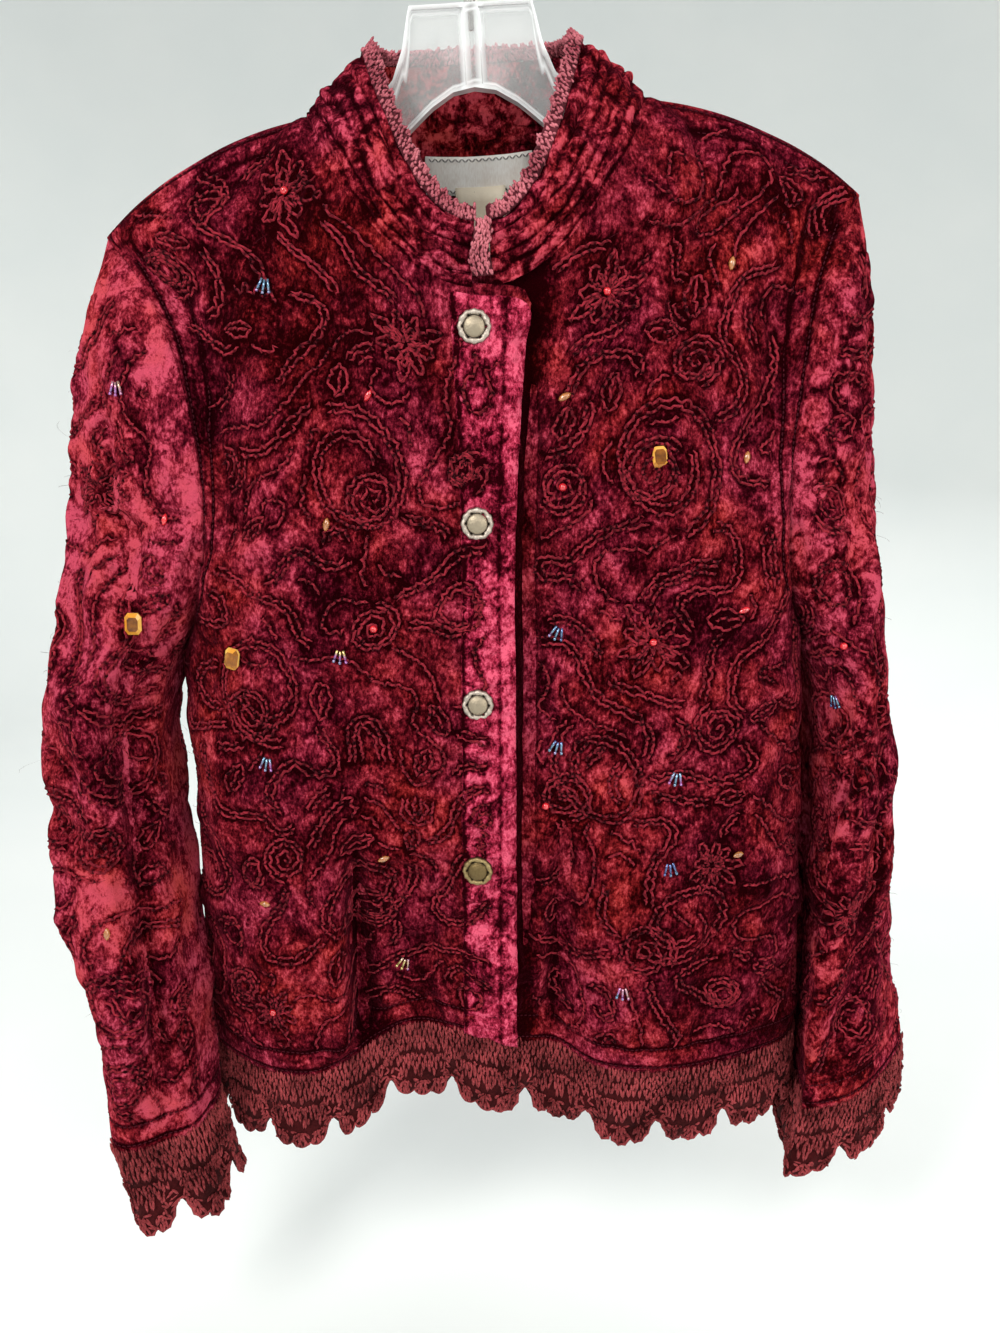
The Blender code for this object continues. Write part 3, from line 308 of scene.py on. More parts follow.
CREASE = "x drop half_width half_length turn out"
CREASES = {
    FRONT: table(
        CREASE,
        (-0.150, 0.330, 0.012, 0.070, 8, -0.0040),
        (-0.118, 0.300, 0.014, 0.080, 14, 0.0035),
        (-0.075, 0.280, 0.011, 0.060, 24, -0.0025),
        (-0.160, 0.560, 0.012, 0.100, -4, 0.0030),
        (-0.098, 0.560, 0.010, 0.085, 5, -0.0028),
        (-0.077, 0.640, 0.0075, 0.085, 1, -0.0190),
        (-0.093, 0.640, 0.0080, 0.095, 2, 0.0095),
        (-0.036, 0.660, 0.007, 0.060, -3, -0.0040),
        (-0.020, 0.360, 0.006, 0.050, 80, -0.0018),
        (-0.030, 0.410, 0.007, 0.055, 100, 0.0016),
        (0.040, 0.420, 0.008, 0.075, -6, -0.0030),
        (0.0260, 0.450, 0.0060, 0.210, 0, -0.0085),
        (0.046, 0.640, 0.007, 0.090, -3, -0.0080),
        (0.084, 0.620, 0.009, 0.075, 6, 0.0030),
        (0.105, 0.330, 0.012, 0.075, -18, 0.0034),
        (0.150, 0.350, 0.013, 0.085, -10, -0.0042),
        (0.165, 0.520, 0.012, 0.100, 3, 0.0030),
        (0.140, 0.620, 0.010, 0.080, -5, -0.0030),
    ),
    BACK: table(
        CREASE,
        (-0.150, 0.340, 0.014, 0.080, 10, -0.0035),
        (-0.090, 0.420, 0.012, 0.110, 3, 0.0028),
        (-0.040, 0.560, 0.010, 0.110, -4, -0.0040),
        (0.000, 0.240, 0.010, 0.080, 90, -0.0020),
        (0.030, 0.620, 0.009, 0.080, 5, 0.0034),
        (0.080, 0.480, 0.013, 0.110, -6, -0.0030),
        (0.150, 0.350, 0.014, 0.080, -10, -0.0035),
        (0.150, 0.600, 0.011, 0.080, 3, 0.0030),
    ),
}
HOLLOW_FULL = 0.014
HOLLOW_SHADE = 0.75
LAP_SHADE = 0.9
LAP_SHADE_REACH = 0.009
PUCKER = 0.0009
PUCKER_WAVES = (0.052, 0.024)
SHORT_PUCKERS = 0.6
WAVES_SUMMED = 20
TOP_HOLD = (0.003, 0.03)
SIDE_HOLD = (0.93, 1)
HEM_HOLD = 0.02


def ripple(seed, a, b, wavelength):
    """Uneven waves over a surface: plane waves of about one length, seeded in way and phase, summed."""
    random = np.random.default_rng(seed)
    total = 0 * a
    for turn, phase, stretch in zip(*random.uniform(0, 1, (3, WAVES_SUMMED))):
        run = a * math.cos(2 * math.pi * turn) + b * math.sin(2 * math.pi * turn)
        total = total + np.sin(2 * math.pi * (run / (wavelength * (0.7 + 0.6 * stretch)) + phase))
    return total / math.sqrt(WAVES_SUMMED / 2)


def creased(rows, across, drop):
    """Soft troughs and ridges: a bell across each crease and a longer bell along it, turned by its angle."""
    out = 0 * across
    for x, y, half, length, turn, height in rows_of(rows, CREASE):
        cos, sin = math.cos(math.radians(turn)), math.sin(math.radians(turn))
        along = (drop - y) * cos + (across - x) * sin
        beside = (across - x) * cos - (drop - y) * sin
        out = out + height * np.exp(-((beside / half) ** 2) - (along / length) ** 4)
    return out


def hollow(creases):
    """How far the pile in a trough lies in its own shade: its depth as a share of a full one."""
    return HOLLOW_SHADE * np.clip(-creases / HOLLOW_FULL, 0, 1)


def puckers(seed, across, drop):
    """How far a cloth's fine puckers stand out: wide waves with short ones on them."""
    wide, short = PUCKER_WAVES
    waves = ripple(seed, across, drop, wide) + SHORT_PUCKERS * ripple(seed + 6, across, drop, short)
    return PUCKER * waves


def panel_drape(face, s, x, drop, fall):
    """How far creases and puckers move a panel's cloth outwards; they die away at the seams and the hem."""
    held = ease(fall, *TOP_HOLD) * (1 - ease(np.abs(s), *SIDE_HOLD))
    held = held * (1 - ease(drop, HEM_DROP - HEM_HOLD, HEM_DROP))
    return (creased(CREASES[face], x, drop) + puckers(11 + face, x, drop)) * held


def normals_of(grid, outward):
    """Unit normals of a grid of points from its own steps along rows and columns, times +1 or -1."""
    return outward * unit(np.cross(np.gradient(grid, axis=1), np.gradient(grid, axis=0)))


def dressed_panel(face, s, drop, lap):
    """The panel's finished cloth: its form, hung and moved along its normals by drape."""
    plain = panel(face, s, drop, lap)
    outward = face * np.sign(s[0, -1] - s[0, 0])
    normal = normals_of(hang(plain), outward)
    out = panel_drape(face, s, plain[..., 0], drop, drop - edge_drop(face, s, lap))
    return hang(plain) + out[..., None] * normal, normal


COARSE = 4


def quads(numbers):
    """Quads between neighbouring rows and columns of a grid of vertex numbers."""
    corners = [numbers[:-1, :-1], numbers[:-1, 1:], numbers[1:, 1:], numbers[1:, :-1]]
    return np.stack(corners, -1).reshape(-1, 4)


def rim(fine, coarse):
    """Faces that join a fine edge to a coarse one: each spans one coarse step and COARSE fine ones."""
    spans = [fine[k : len(fine) - COARSE + k : COARSE] for k in range(COARSE)] + [fine[COARSE::COARSE]]
    return np.stack([coarse[1:], coarse[:-1]] + spans, -1)


def shell_faces(outer, inner, flip, joined_from=None, pole=False):
    """Faces of a thin closed cloth: fine outside, coarse inside, and rims along its free edges.

    joined_from is the first fine row whose last column is its first one again; pole makes row 0 one point.
    """
    outer, inner = outer.copy(), inner.copy()
    first_joined = len(outer) if joined_from is None else joined_from
    for grid, row in ((outer, first_joined), (inner, -(-first_joined // COARSE))):
        grid[row:, -1] = grid[row:, 0]
        if pole:
            grid[0] = grid[0, 0]
    faces = [quads(outer), quads(inner)[:, ::-1], rim(outer[-1], inner[-1])]
    sides = np.s_[: first_joined + 1]
    coarse_sides = np.s_[: first_joined // COARSE + 1]
    faces.append(rim(outer[sides, 0], inner[coarse_sides, 0]))
    faces.append(rim(outer[sides, -1], inner[coarse_sides, -1])[:, ::-1])
    if not pole:
        faces.append(rim(outer[0], inner[0])[:, ::-1])
    return [f[:, ::-1] if flip else f for f in faces]


def shell(outer, normal, wall, flip, joined_from=None, pole=False):
    """Points and faces of a thin cloth: its fine outside, and a coarse inside one wall's thickness in."""
    inner = (outer - wall * normal)[::COARSE, ::COARSE]
    outside = np.arange(outer.size // 3).reshape(outer.shape[:2])
    inside = outside.size + np.arange(inner.size // 3).reshape(inner.shape[:2])
    points = np.concatenate([outer.reshape(-1, 3), inner.reshape(-1, 3)])
    return points, shell_faces(outside, inside, flip, joined_from, pole)


def loft(rings, flip=False):
    """Points and faces of a closed form through rings of points, with a flat cap on each end."""
    numbers = np.arange(rings.size // 3).reshape(rings.shape[:2])
    around = np.concatenate([numbers, numbers[:, :1]], 1)
    faces = [quads(around), numbers[0][None, ::-1], numbers[-1][None]]
    return rings.reshape(-1, 3), [f[:, ::-1] if flip else f for f in faces]


def round_angles(sides):
    """Even angles once round, without the last one that would be the first again."""
    return np.linspace(0, 2 * math.pi, sides + 1)[:-1]


def piece(name, points, faces, material, slot, replaces=(), **attributes):
    """A finished piece at the origin, riding on the one body; doubled corners drop out of its faces."""
    mesh = bpy.data.meshes.new(name)
    corners = []
    for group in faces:
        for face in np.asarray(group).tolist():
            corner = list(dict.fromkeys(face))
            if len(corner) > 2:
                corners.append(corner)
    used = np.unique(np.concatenate(corners))
    fresh = np.zeros(len(points), int)
    fresh[used] = np.arange(len(used))
    mesh.from_pydata(np.asarray(points)[used].tolist(), [], [fresh[c].tolist() for c in corners])
    mesh.polygons.foreach_set("use_smooth", np.ones(len(mesh.polygons), bool))
    for key, values in attributes.items():
        mesh.attributes.new(key, "FLOAT", "POINT").data.foreach_set("value", np.asarray(values, float)[used])
    mesh.materials.append(material)
    made = bpy.data.objects.new(name, mesh)
    bpy.context.scene.collection.objects.link(made)
    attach(made, "root")
    if replaces:
        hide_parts(*replaces)
    return made


class Nodes:
    """A material's node tree with short calls to add a node and to link sockets."""

    def __init__(self, name):
        self.material = bpy.data.materials.new(name)
        self.material.use_nodes = True
        self.tree = self.material.node_tree
        self.shader = self.tree.nodes["Principled BSDF"]
        self.place = self.tree.nodes.new("ShaderNodeTexCoord").outputs["Object"]

    def set(self, **values):
        for key, value in values.items():
            self.shader.inputs[key.replace("_", " ")].default_value = value

    def add(self, kind, inputs=(), **settings):
        node = self.tree.nodes.new("ShaderNode" + kind)
        for key, value in settings.items():
            setattr(node, key, value)
        for key, value in dict(inputs).items():
            if isinstance(value, bpy.types.NodeSocket):
                self.tree.links.new(value, node.inputs[key])
            else:
                node.inputs[key].default_value = value
        return node

    def noise(self, scale, detail=2.0, rough=0.5, swirl=0.0, kind="FBM", stretch=(1, 1, 1)):
        """Noise over Object coordinates, scale in waves a metre."""
        at = self.add("Mapping", {"Vector": self.place, "Scale": stretch}).outputs[0]
        inputs = {"Vector": at, "Scale": scale, "Detail": detail, "Roughness": rough, "Distortion": swirl}
        return self.add("TexNoise", inputs, noise_type=kind, normalize=True).outputs[0]

    def math(self, operation, first, second):
        return self.add("Math", {0: first, 1: second}, operation=operation).outputs[0]

    def weighted(self, *terms):
        """The sum of values, each times its weight."""
        total, *others = [self.math("MULTIPLY", value, weight) for value, weight in terms]
        for other in others:
            total = self.math("ADD", total, other)
        return total

    def ramp(self, value, *stops):
        """Colours along a value; each stop is a place and a colour."""
        node = self.add("ValToRGB", {"Fac": value})
        band = node.color_ramp
        while len(band.elements) < len(stops):
            band.elements.new(0.5)
        for element, (at, colour) in zip(band.elements, stops):
            element.position = at
            element.color = (*colour, 1)
        return node.outputs[0]

    def mix(self, share, first, second):
        """One colour turning into another by a share."""
        return self.add("Mix", {0: share, 6: first, 7: second}, data_type="RGBA").outputs[2]

    def attribute(self, name):
        return self.add("Attribute", attribute_name=name).outputs["Fac"]

    def bump(self, height, distance, strength=1.0, under=None):
        inputs = {"Height": height, "Distance": distance, "Strength": strength}
        if under is not None:
            inputs["Normal"] = under
        return self.add("Bump", inputs).outputs[0]

    def finish(self, colour=None, normal=None, roughness=None):
        for key, value in (("Base Color", colour), ("Normal", normal), ("Roughness", roughness)):
            if value is not None:
                self.tree.links.new(value, self.shader.inputs[key])
        return self.material


TONE_PLACES = (0.405, 0.455, 0.495, 0.535, 0.590)
CLOUD = 0.36
GRAIN = 0.44
FURROW_SHADE_DARK = 0.15


def velvet(name, cool, warm, lift, blotch=0.34):
    """Crushed velvet: wide clouds where the pile lies over, patches, fine grain, and pressed pile and painted
    shade in furrows.

    cool and warm are five colours each, from the pile's deepest shadow to its sheen; wide patches mix them.
    lift makes the whole cloth lighter, and blotch is the share of the patches.
    """
    nodes = Nodes(name)
    clouds = nodes.noise(13, 5, 0.60, 1.2, stretch=(1, 1, 0.7))
    patches = nodes.noise(85, 4, 0.65, 0.8)
    grain = nodes.noise(500, 4, 0.75, stretch=(1, 1, 0.6))
    level = nodes.weighted((clouds, CLOUD), (patches, blotch), (grain, GRAIN))
    level = nodes.math("ADD", level, lift - 0.5 * (CLOUD + blotch + GRAIN - 1))
    # Darker where the cloth is furrowed: pile pressed down by stitches, and painted shade in troughs and
    # beside cords.
    level = nodes.math("SUBTRACT", level, nodes.math("MULTIPLY", nodes.attribute("furrow"), FURROW_SHADE_DARK))
    cool_red = nodes.ramp(level, *zip(TONE_PLACES, cool))
    warm_red = nodes.ramp(level, *zip(TONE_PLACES, warm))
    share = nodes.ramp(nodes.noise(16, 3, 0.6), (0.42, (0, 0, 0)), (0.68, (1, 1, 1)))
    wrinkle = nodes.noise(70, 4, 0.55, 0.6, "RIDGED_MULTIFRACTAL")
    normal = nodes.bump(wrinkle, 0.007, 0.7)
    normal = nodes.bump(nodes.noise(230, 3, 0.6, 0.5), 0.0035, 0.6, normal)
    normal = nodes.bump(grain, 0.0014, 0.8, normal)
    nodes.set(Roughness=0.9, Sheen_Weight=0.10, Sheen_Roughness=0.35, Sheen_Tint=(1.0, 0.10, 0.20, 1))
    nodes.set(Specular_IOR_Level=0.0)
    return nodes.finish(nodes.mix(share, cool_red, warm_red), normal)


COOL_RED = (
    (0.0100, 0.0003, 0.0012),
    (0.0450, 0.0020, 0.0060),
    (0.1150, 0.0060, 0.0150),
    (0.2350, 0.0170, 0.0360),
    (0.5000, 0.0600, 0.1050),
)
WARM_RED = (
    (0.0120, 0.0004, 0.0006),
    (0.0560, 0.0024, 0.0030),
    (0.1400, 0.0068, 0.0080),
    (0.2700, 0.0180, 0.0190),
    (0.5000, 0.0560, 0.0560),
)
VELVET = velvet("crushed velvet", COOL_RED, WARM_RED, -0.010)
FRONT_ROWS = 62 * COARSE + 1
FRONT_COLUMNS = 32 * COARSE + 1
cloths = {}


def panel_grid(s, rows, face, lap):
    """Places on a panel: columns at s, and rows from the upper edge to the hem, closer by the shoulder."""
    share = np.linspace(0, 1, rows)
    share = share * (0.55 + 0.45 * ease(share, 0, 0.06))
    grid_s, grid_share = np.meshgrid(s, share)
    top = edge_drop(face, grid_s, lap)
    return grid_s, top + (HEM_DROP - top) * grid_share


def cloth_panel(name, face, s, rows, lap):
    """Keeps a panel's finished points and normals under its name until the embroidery has furrowed it."""
    grid_s, drop = panel_grid(s, rows, face, lap)
    outer, normal = dressed_panel(face, grid_s, drop, lap)
    shade = hollow(creased(CREASES[face], panel(face, grid_s, drop, lap)[..., 0], drop))
    # Painted shadow that the band's free edge casts on the front under it, added to the crease shade.
    beside = np.maximum(grid_s - S_LAP, 0) * CHEST_HALF * math.pi / 2
    lap_shadow = LAP_SHADE * np.exp(-((beside / LAP_SHADE_REACH) ** 2))
    cloths[name] = {
        "outer": outer,
        "normal": normal,
        "flip": face * (s[-1] - s[0]) < 0,
        "across": grid_s * (1 if lap >= 0 else -1),
        "drop": drop,
        "hollow": shade + lap_shadow if lap > 0 else shade * (1 - ease(grid_s, 0.5 * S_LAP, S_LAP)),
    }


cloth_panel("front_right", FRONT, -np.linspace(-S_LAP, 1, FRONT_COLUMNS), FRONT_ROWS, -1)
cloth_panel("front_left", FRONT, np.linspace(-S_LAP, 1, FRONT_COLUMNS), FRONT_ROWS, 1)

# Back: one velvet panel, cut without a centre seam, joined to the fronts at shoulders and sides.
BACK_ROWS = 46 * COARSE + 1
BACK_COLUMNS = 41 * COARSE + 1
cloth_panel("back", BACK, np.linspace(-1, 1, BACK_COLUMNS), BACK_ROWS, 0)

# Sleeves: each cut in one piece, set into its armhole and closed under the arm, hanging a little forwards.
# Each is flattened by its own weight, with long creases from elbow to cuff.
DEEPEST_ALONG = 0.68
SLEEVE_SQUARENESS = {"right": (2.2, 2.2), "left": (2.2, 1.5)}
SQUARE_DROPS = (0.50, 0.70)
CUFF_DROP = {"right": 0.733, "left": 0.739}
CUFF_SLANT = {"right": 0.0, "left": 0.012}
CUFF_LOW_TURN = 0.75
HALF_GIRTH = 0.13
RIGHT_SLEEVE = table(
    "drop x_outer y_outer x_front y_front x_back y_back x_inner",
    (0.189, 0.2180, -0.0030, 0.2180, -0.0030, 0.2180, -0.0030, 0.2180),
    (0.230, 0.2315, -0.0050, 0.1870, -0.0300, 0.1870, 0.0240, 0.1870),
    (0.345, 0.2485, -0.0090, 0.1610, -0.0517, 0.1610, 0.0443, 0.1610),
    (0.400, 0.2570, -0.0140, 0.1980, -0.0635, 0.1980, 0.0455, 0.1720),
    (0.436, 0.2625, -0.0200, 0.2180, -0.0705, 0.2200, 0.0395, 0.1885),
    (0.480, 0.2670, -0.0270, 0.2260, -0.0785, 0.2280, 0.0315, 0.1985),
    (0.560, 0.2605, -0.0420, 0.2240, -0.0915, 0.2260, 0.0095, 0.1930),
    (0.660, 0.2425, -0.0630, 0.2110, -0.1045, 0.2110, -0.0215, 0.1825),
    (0.733, 0.2375, -0.0730, 0.2060, -0.1085, 0.2060, -0.0365, 0.1780),
    (0.800, 0.2375, -0.0740, 0.2060, -0.1115, 0.2060, -0.0365, 0.1770),
)
LEFT_SLEEVE = table(
    "drop x_outer y_outer x_front y_front x_back y_back x_inner",
    (0.189, 0.2180, -0.0030, 0.2180, -0.0030, 0.2180, -0.0030, 0.2180),
    (0.230, 0.2235, -0.0030, 0.1870, -0.0300, 0.1870, 0.0240, 0.1870),
    (0.345, 0.2355, -0.0030, 0.1763, -0.0517, 0.1763, 0.0443, 0.1763),
    (0.400, 0.2435, -0.0030, 0.2010, -0.0575, 0.2010, 0.0475, 0.1798),
    (0.436, 0.2485, -0.0030, 0.2160, -0.0595, 0.2190, 0.0485, 0.1960),
    (0.480, 0.2545, -0.0030, 0.2240, -0.0615, 0.2300, 0.0465, 0.2080),
    (0.560, 0.2655, -0.0020, 0.2250, -0.0625, 0.2400, 0.0435, 0.2140),
    (0.660, 0.2800, -0.0030, 0.2150, -0.0635, 0.2500, 0.0340, 0.2170),
    (0.746, 0.2960, -0.0060, 0.2090, -0.0640, 0.2600, 0.0220, 0.2180),
    (0.820, 0.2980, -0.0040, 0.2080, -0.0660, 0.2620, 0.0220, 0.2180),
)
SLEEVES = {"right": (-1, RIGHT_SLEEVE), "left": (1, LEFT_SLEEVE)}
SLEEVE_FOLDS = table(
    "turn half_width out",
    (-0.85, 0.16, 0.0040),
    (-0.45, 0.14, -0.0045),
    (0.36, 0.13, 0.0065),
    (0.62, 0.13, -0.0050),
)
SLEEVE_CREASES = {
    "right": table(
        CREASE,
        (0.078, 0.400, 0.007, 0.120, 4, -0.0050),
        (0.064, 0.500, 0.006, 0.200, 2, 0.0036),
        (0.032, 0.470, 0.006, 0.160, 2, 0.0034),
        (0.019, 0.470, 0.007, 0.160, 2, -0.0032),
        (0.092, 0.560, 0.008, 0.130, -3, -0.0055),
        (0.060, 0.480, 0.009, 0.060, 24, 0.0035),
        (0.046, 0.530, 0.008, 0.040, 55, -0.0034),
        (0.034, 0.590, 0.009, 0.045, 40, 0.0024),
        (0.065, 0.650, 0.008, 0.060, -14, 0.0040),
        (0.038, 0.680, 0.008, 0.050, 12, -0.0040),
        (0.016, 0.320, 0.012, 0.070, -8, 0.0020),
        (-0.060, 0.500, 0.010, 0.090, 10, -0.0045),
        (-0.030, 0.640, 0.010, 0.070, -12, 0.0035),
    ),
    "left": table(
        CREASE,
        (0.062, 0.470, 0.009, 0.110, 5, 0.0040),
        (0.044, 0.540, 0.008, 0.120, 3, -0.0050),
        (0.070, 0.620, 0.008, 0.100, -4, 0.0045),
        (0.050, 0.690, 0.007, 0.055, 8, -0.0045),
        (0.085, 0.560, 0.008, 0.070, 14, -0.0040),
        (0.034, 0.520, 0.009, 0.045, 48, 0.0022),
        (0.026, 0.640, 0.009, 0.050, -30, -0.0022),
        (-0.060, 0.500, 0.010, 0.090, -10, -0.0045),
        (-0.030, 0.650, 0.010, 0.070, 12, 0.0035),
    ),
}
SLEEVE_CRUSH = 1.6
SLEEVE_FOLDS_FULL = 0.62
SEAM_TURNS = (0.86, 1)
INNER_TURNS = (0.9, 1)
INNER_HOLD = 0.9
UNDERARM_FADE = 0.04
HEAD_DROPS = (0.195, 0.24)
CUFF_HOLD = (0.035, 0.005)
# The right sleeve is lifted lighter than the left: painted light, on the side that the key lamp lights.
SLEEVE_VELVET = {
    "sleeve_right": velvet("right sleeve velvet", COOL_RED, WARM_RED, 0.042, 0.42),
    "sleeve_left": velvet("left sleeve velvet", COOL_RED, WARM_RED, 0.007, 0.60),
}
FINE_ALONG = np.linspace(0, 1, 400)
FINE_DROPS = smooth(ARMHOLE, "drop", FINE_ALONG)


def sleeve(side, turn, drop):
    """Sleeve cloth: at each drop an arc from the outer side (turn 0) forwards (to 1) and backwards (to -1).

    Above the underarm the arc ends on the armhole seam. Below it the two ends meet on the inner side. Each
    half is two quarters of an ellipse, about the point that reaches furthest forwards or backwards.
    """
    sign, rows = SLEEVES[side]

    def read(column):
        return smooth(rows, column, drop)

    forward = turn >= 0
    along = np.interp(drop, FINE_DROPS, FINE_ALONG)
    on_seam = S_TIP + (1 - S_TIP) * along
    ahead, behind = top_edge(FRONT, sign * on_seam), top_edge(BACK, sign * on_seam)
    seam = [np.where(forward, a, b) for a, b in zip(ahead, behind)]
    seam[0] = sign * seam[0]
    high = along < DEEPEST_ALONG
    open_end = drop < UNDERARM_DROP
    far_x = np.where(high, seam[0], np.where(forward, read("x_front"), read("x_back")))
    far_y = np.where(high, seam[1], np.where(forward, read("y_front"), read("y_back")))
    end_x = np.where(open_end, seam[0], read("x_inner"))
    end_y = np.where(open_end, seam[1], read("y_outer"))
    reach = np.clip((read("y_outer") - end_y) / np.where(high, 1, read("y_outer") - far_y), 0, 1)
    last = np.where(high, math.pi / 2, math.pi - np.arcsin(reach))
    angle = np.abs(turn) * last
    at_arm, at_cuff = SLEEVE_SQUARENESS[side]
    power = 2 / (at_arm + (at_cuff - at_arm) * ease(drop, *SQUARE_DROPS))
    cos, sin = np.abs(np.cos(angle)) ** power, np.abs(np.sin(angle)) ** power
    end_cos, end_sin = np.abs(np.cos(last)) ** power, np.abs(np.sin(last)) ** power
    near = angle <= math.pi / 2
    part = np.where(high, 0, cos / np.maximum(end_cos, 1e-9))
    x = np.where(near, far_x + (read("x_outer") - far_x) * cos, far_x + (end_x - far_x) * part)
    sink = np.where(high, 0, (1 - sin) / np.maximum(1 - end_sin, 1e-9))
    y_near = read("y_outer") + (far_y - read("y_outer")) * sin
    y = np.where(near, y_near, far_y + (end_y - far_y) * sink)
    swell = bells(SLEEVE_FOLDS, turn) * ease(drop, UNDERARM_DROP, SLEEVE_FOLDS_FULL)
    x = x + swell * np.cos(math.pi * turn)
    y = y - swell * np.sin(math.pi * turn)
    return np.stack([sign * x, y, -drop], -1)


def inner_front(turn):
    """1 on the sleeve's inner front, where it swings forwards, to -1 on the side across from it."""
    return np.cos(math.pi * (turn - CUFF_LOW_TURN))


def cuff_edge(side, turn):
    """Drop of the velvet's edge at the cuff, lowest on the inner front."""
    return CUFF_DROP[side] + CUFF_SLANT[side] * inner_front(turn)


def dressed_sleeve(side, turn, drop):
    """The sleeve's finished cloth: its form, hung and moved along its normals by creases and puckers."""
    plain = hang(sleeve(side, turn, drop))
    normal = normals_of(plain, SLEEVES[side][0])
    joined = drop[:, 0] >= UNDERARM_DROP
    ends = unit(normal[joined, 0] + normal[joined, -1])
    normal[joined, 0] = normal[joined, -1] = ends
    normal[0] = unit(normal[1].mean(axis=0))
    across = HALF_GIRTH * turn
    above = 1 - ease(drop, UNDERARM_DROP, UNDERARM_DROP + UNDERARM_FADE)
    held = 1 - ease(np.abs(turn), *SEAM_TURNS) * above
    held = held * (1 - ease(np.abs(turn), *INNER_TURNS) * INNER_HOLD) * ease(drop, *HEAD_DROPS)
    held = held * (1 - ease(drop, CUFF_DROP[side] - CUFF_HOLD[0], CUFF_DROP[side] - CUFF_HOLD[1]))
    creases = SLEEVE_CRUSH * creased(SLEEVE_CREASES[side], across, drop)
    out = (creases + puckers(23, across, drop)) * held
    return plain + out[..., None] * normal, normal


TOP_ROWS = 24 * COARSE
LOW_ROWS = 28 * COARSE
SLEEVE_COLUMNS = 26 * COARSE + 1
for side in SLEEVES:
    seam_drops = smooth(ARMHOLE, "drop", np.linspace(0, 1, TOP_ROWS + 1))
    share = np.concatenate([np.zeros(TOP_ROWS + 1), np.arange(1, LOW_ROWS + 1) / LOW_ROWS])
    start = np.append(seam_drops, np.full(LOW_ROWS, UNDERARM_DROP))
    turn, start = np.meshgrid(np.linspace(-1, 1, SLEEVE_COLUMNS), start)
    drop = start + share[:, None] * (cuff_edge(side, turn) - UNDERARM_DROP)
    outer, normal = dressed_sleeve(side, turn, drop)
    cloths["sleeve_" + side] = {
        "outer": outer,
        "normal": normal,
        "flip": side == "right",
        "joined": TOP_ROWS,
        "across": turn,
        "drop": drop,
        "hollow": hollow(SLEEVE_CRUSH * creased(SLEEVE_CREASES[side], HALF_GIRTH * turn, drop)),
    }

# Stand collar: a folded velvet band sewn to the neckline, quilted by rows of stitching along it.
COLLAR_TOP_HALF = 0.061
COLLAR_TOP_DROP = {FRONT: 0.2000, BACK: 0.0980}
COLLAR_SIDE_DROP = 0.1010
COLLAR_TOP_Y = {FRONT: -0.060, BACK: 0.034}
COLLAR_SIDE_Y = 0.000
COLLAR_BOW = 0.003
COLLAR_POWER = {FRONT: 2.3, BACK: 2.0}
COLLAR_FLAT = (0.22, 0.045)
COLLAR_ROWS = 12 * COARSE + 1
COLLAR_UNDER = 0.07
COLLAR_COLUMNS = 52 * COARSE + 1
QUILT_ROWS = 5
QUILT_PUFF = 0.0024


def collar(face, s, level):
    """Collar cloth: level 0 on the neckline, 1 on the top edge, above 1 the edging; bowed out between."""
    x_low, y_low, drop_low = top_edge(face, s)
    across = np.sin(np.clip(np.abs(s) / S_NECK, 0, 1) * math.pi / 2)
    x_high = np.sign(s) * COLLAR_TOP_HALF * across
    reach = neck_reach(across)
    y_high = COLLAR_SIDE_Y + (COLLAR_TOP_Y[face] - COLLAR_SIDE_Y) * reach
    top_drop = COLLAR_TOP_DROP[face]
    drop_high = top_drop + (COLLAR_SIDE_DROP - top_drop) * across ** COLLAR_POWER[face]
    low, high = np.stack([x_low, y_low, -drop_low], -1), np.stack([x_high, y_high, -drop_high], -1)
    bow = COLLAR_BOW * np.sin(np.pi * np.clip(level, 0, 1))
    outward = np.stack([np.sign(s) * across, face * reach, 0 * s], -1)
    return low + (high - low) * level[..., None] + bow[..., None] * outward


def collar_at(round_neck, level):
    """Collar cloth by its way round the neck, from -1 at the right front end to 1 at the left one."""
    ahead = np.abs(round_neck) > 0.5
    s_front = np.sign(round_neck) * (S_NECK + (COLLAR_END_S - S_NECK) * (np.abs(round_neck) - 0.5) / 0.5)
    s_back = S_NECK * round_neck / 0.5
    front, back = collar(FRONT, s_front, level), collar(BACK, np.clip(s_back, -S_NECK, S_NECK), level)
    return hang(np.where(ahead[..., None], front, back))


def run_length(points):
    """Length of a row of points from its first to each of them."""
    return np.concatenate([[0], np.cumsum(np.linalg.norm(np.diff(points, axis=0), axis=1))])


def evenly(curve, low, high, spans):
    """Places between low and high that divide a curve into equal lengths, and its length."""
    fine = np.linspace(low, high, 1200)
    length = run_length(curve(fine))
    return np.interp(np.linspace(0, length[-1], spans + 1), length, fine), length[-1]


neck_places = evenly(lambda n: collar_at(n, 0.5 + 0 * n), -1, 1, COLLAR_COLUMNS - 1)[0]
round_neck, level = np.meshgrid(neck_places, np.linspace(-COLLAR_UNDER, 1, COLLAR_ROWS))
plain = collar_at(round_neck, level)
normal = normals_of(plain, -1)
flat = (round_neck * COLLAR_FLAT[0], level * COLLAR_FLAT[1])
waver = 0.055 * ripple(41, *flat, 0.07) + 0.018 * ripple(43, *flat, 0.018)
quilt = QUILT_ROWS * (level + waver)
fullness = 1 + 0.35 * ripple(45, *flat, 0.045)
puff = QUILT_PUFF * fullness * (np.abs(np.sin(math.pi * quilt)) ** 0.6 - 0.5) * ease(level, 0, 0.06)
puff = puff + 0.0007 * ripple(31, *flat, 0.016) * ease(level, 0, 0.1)
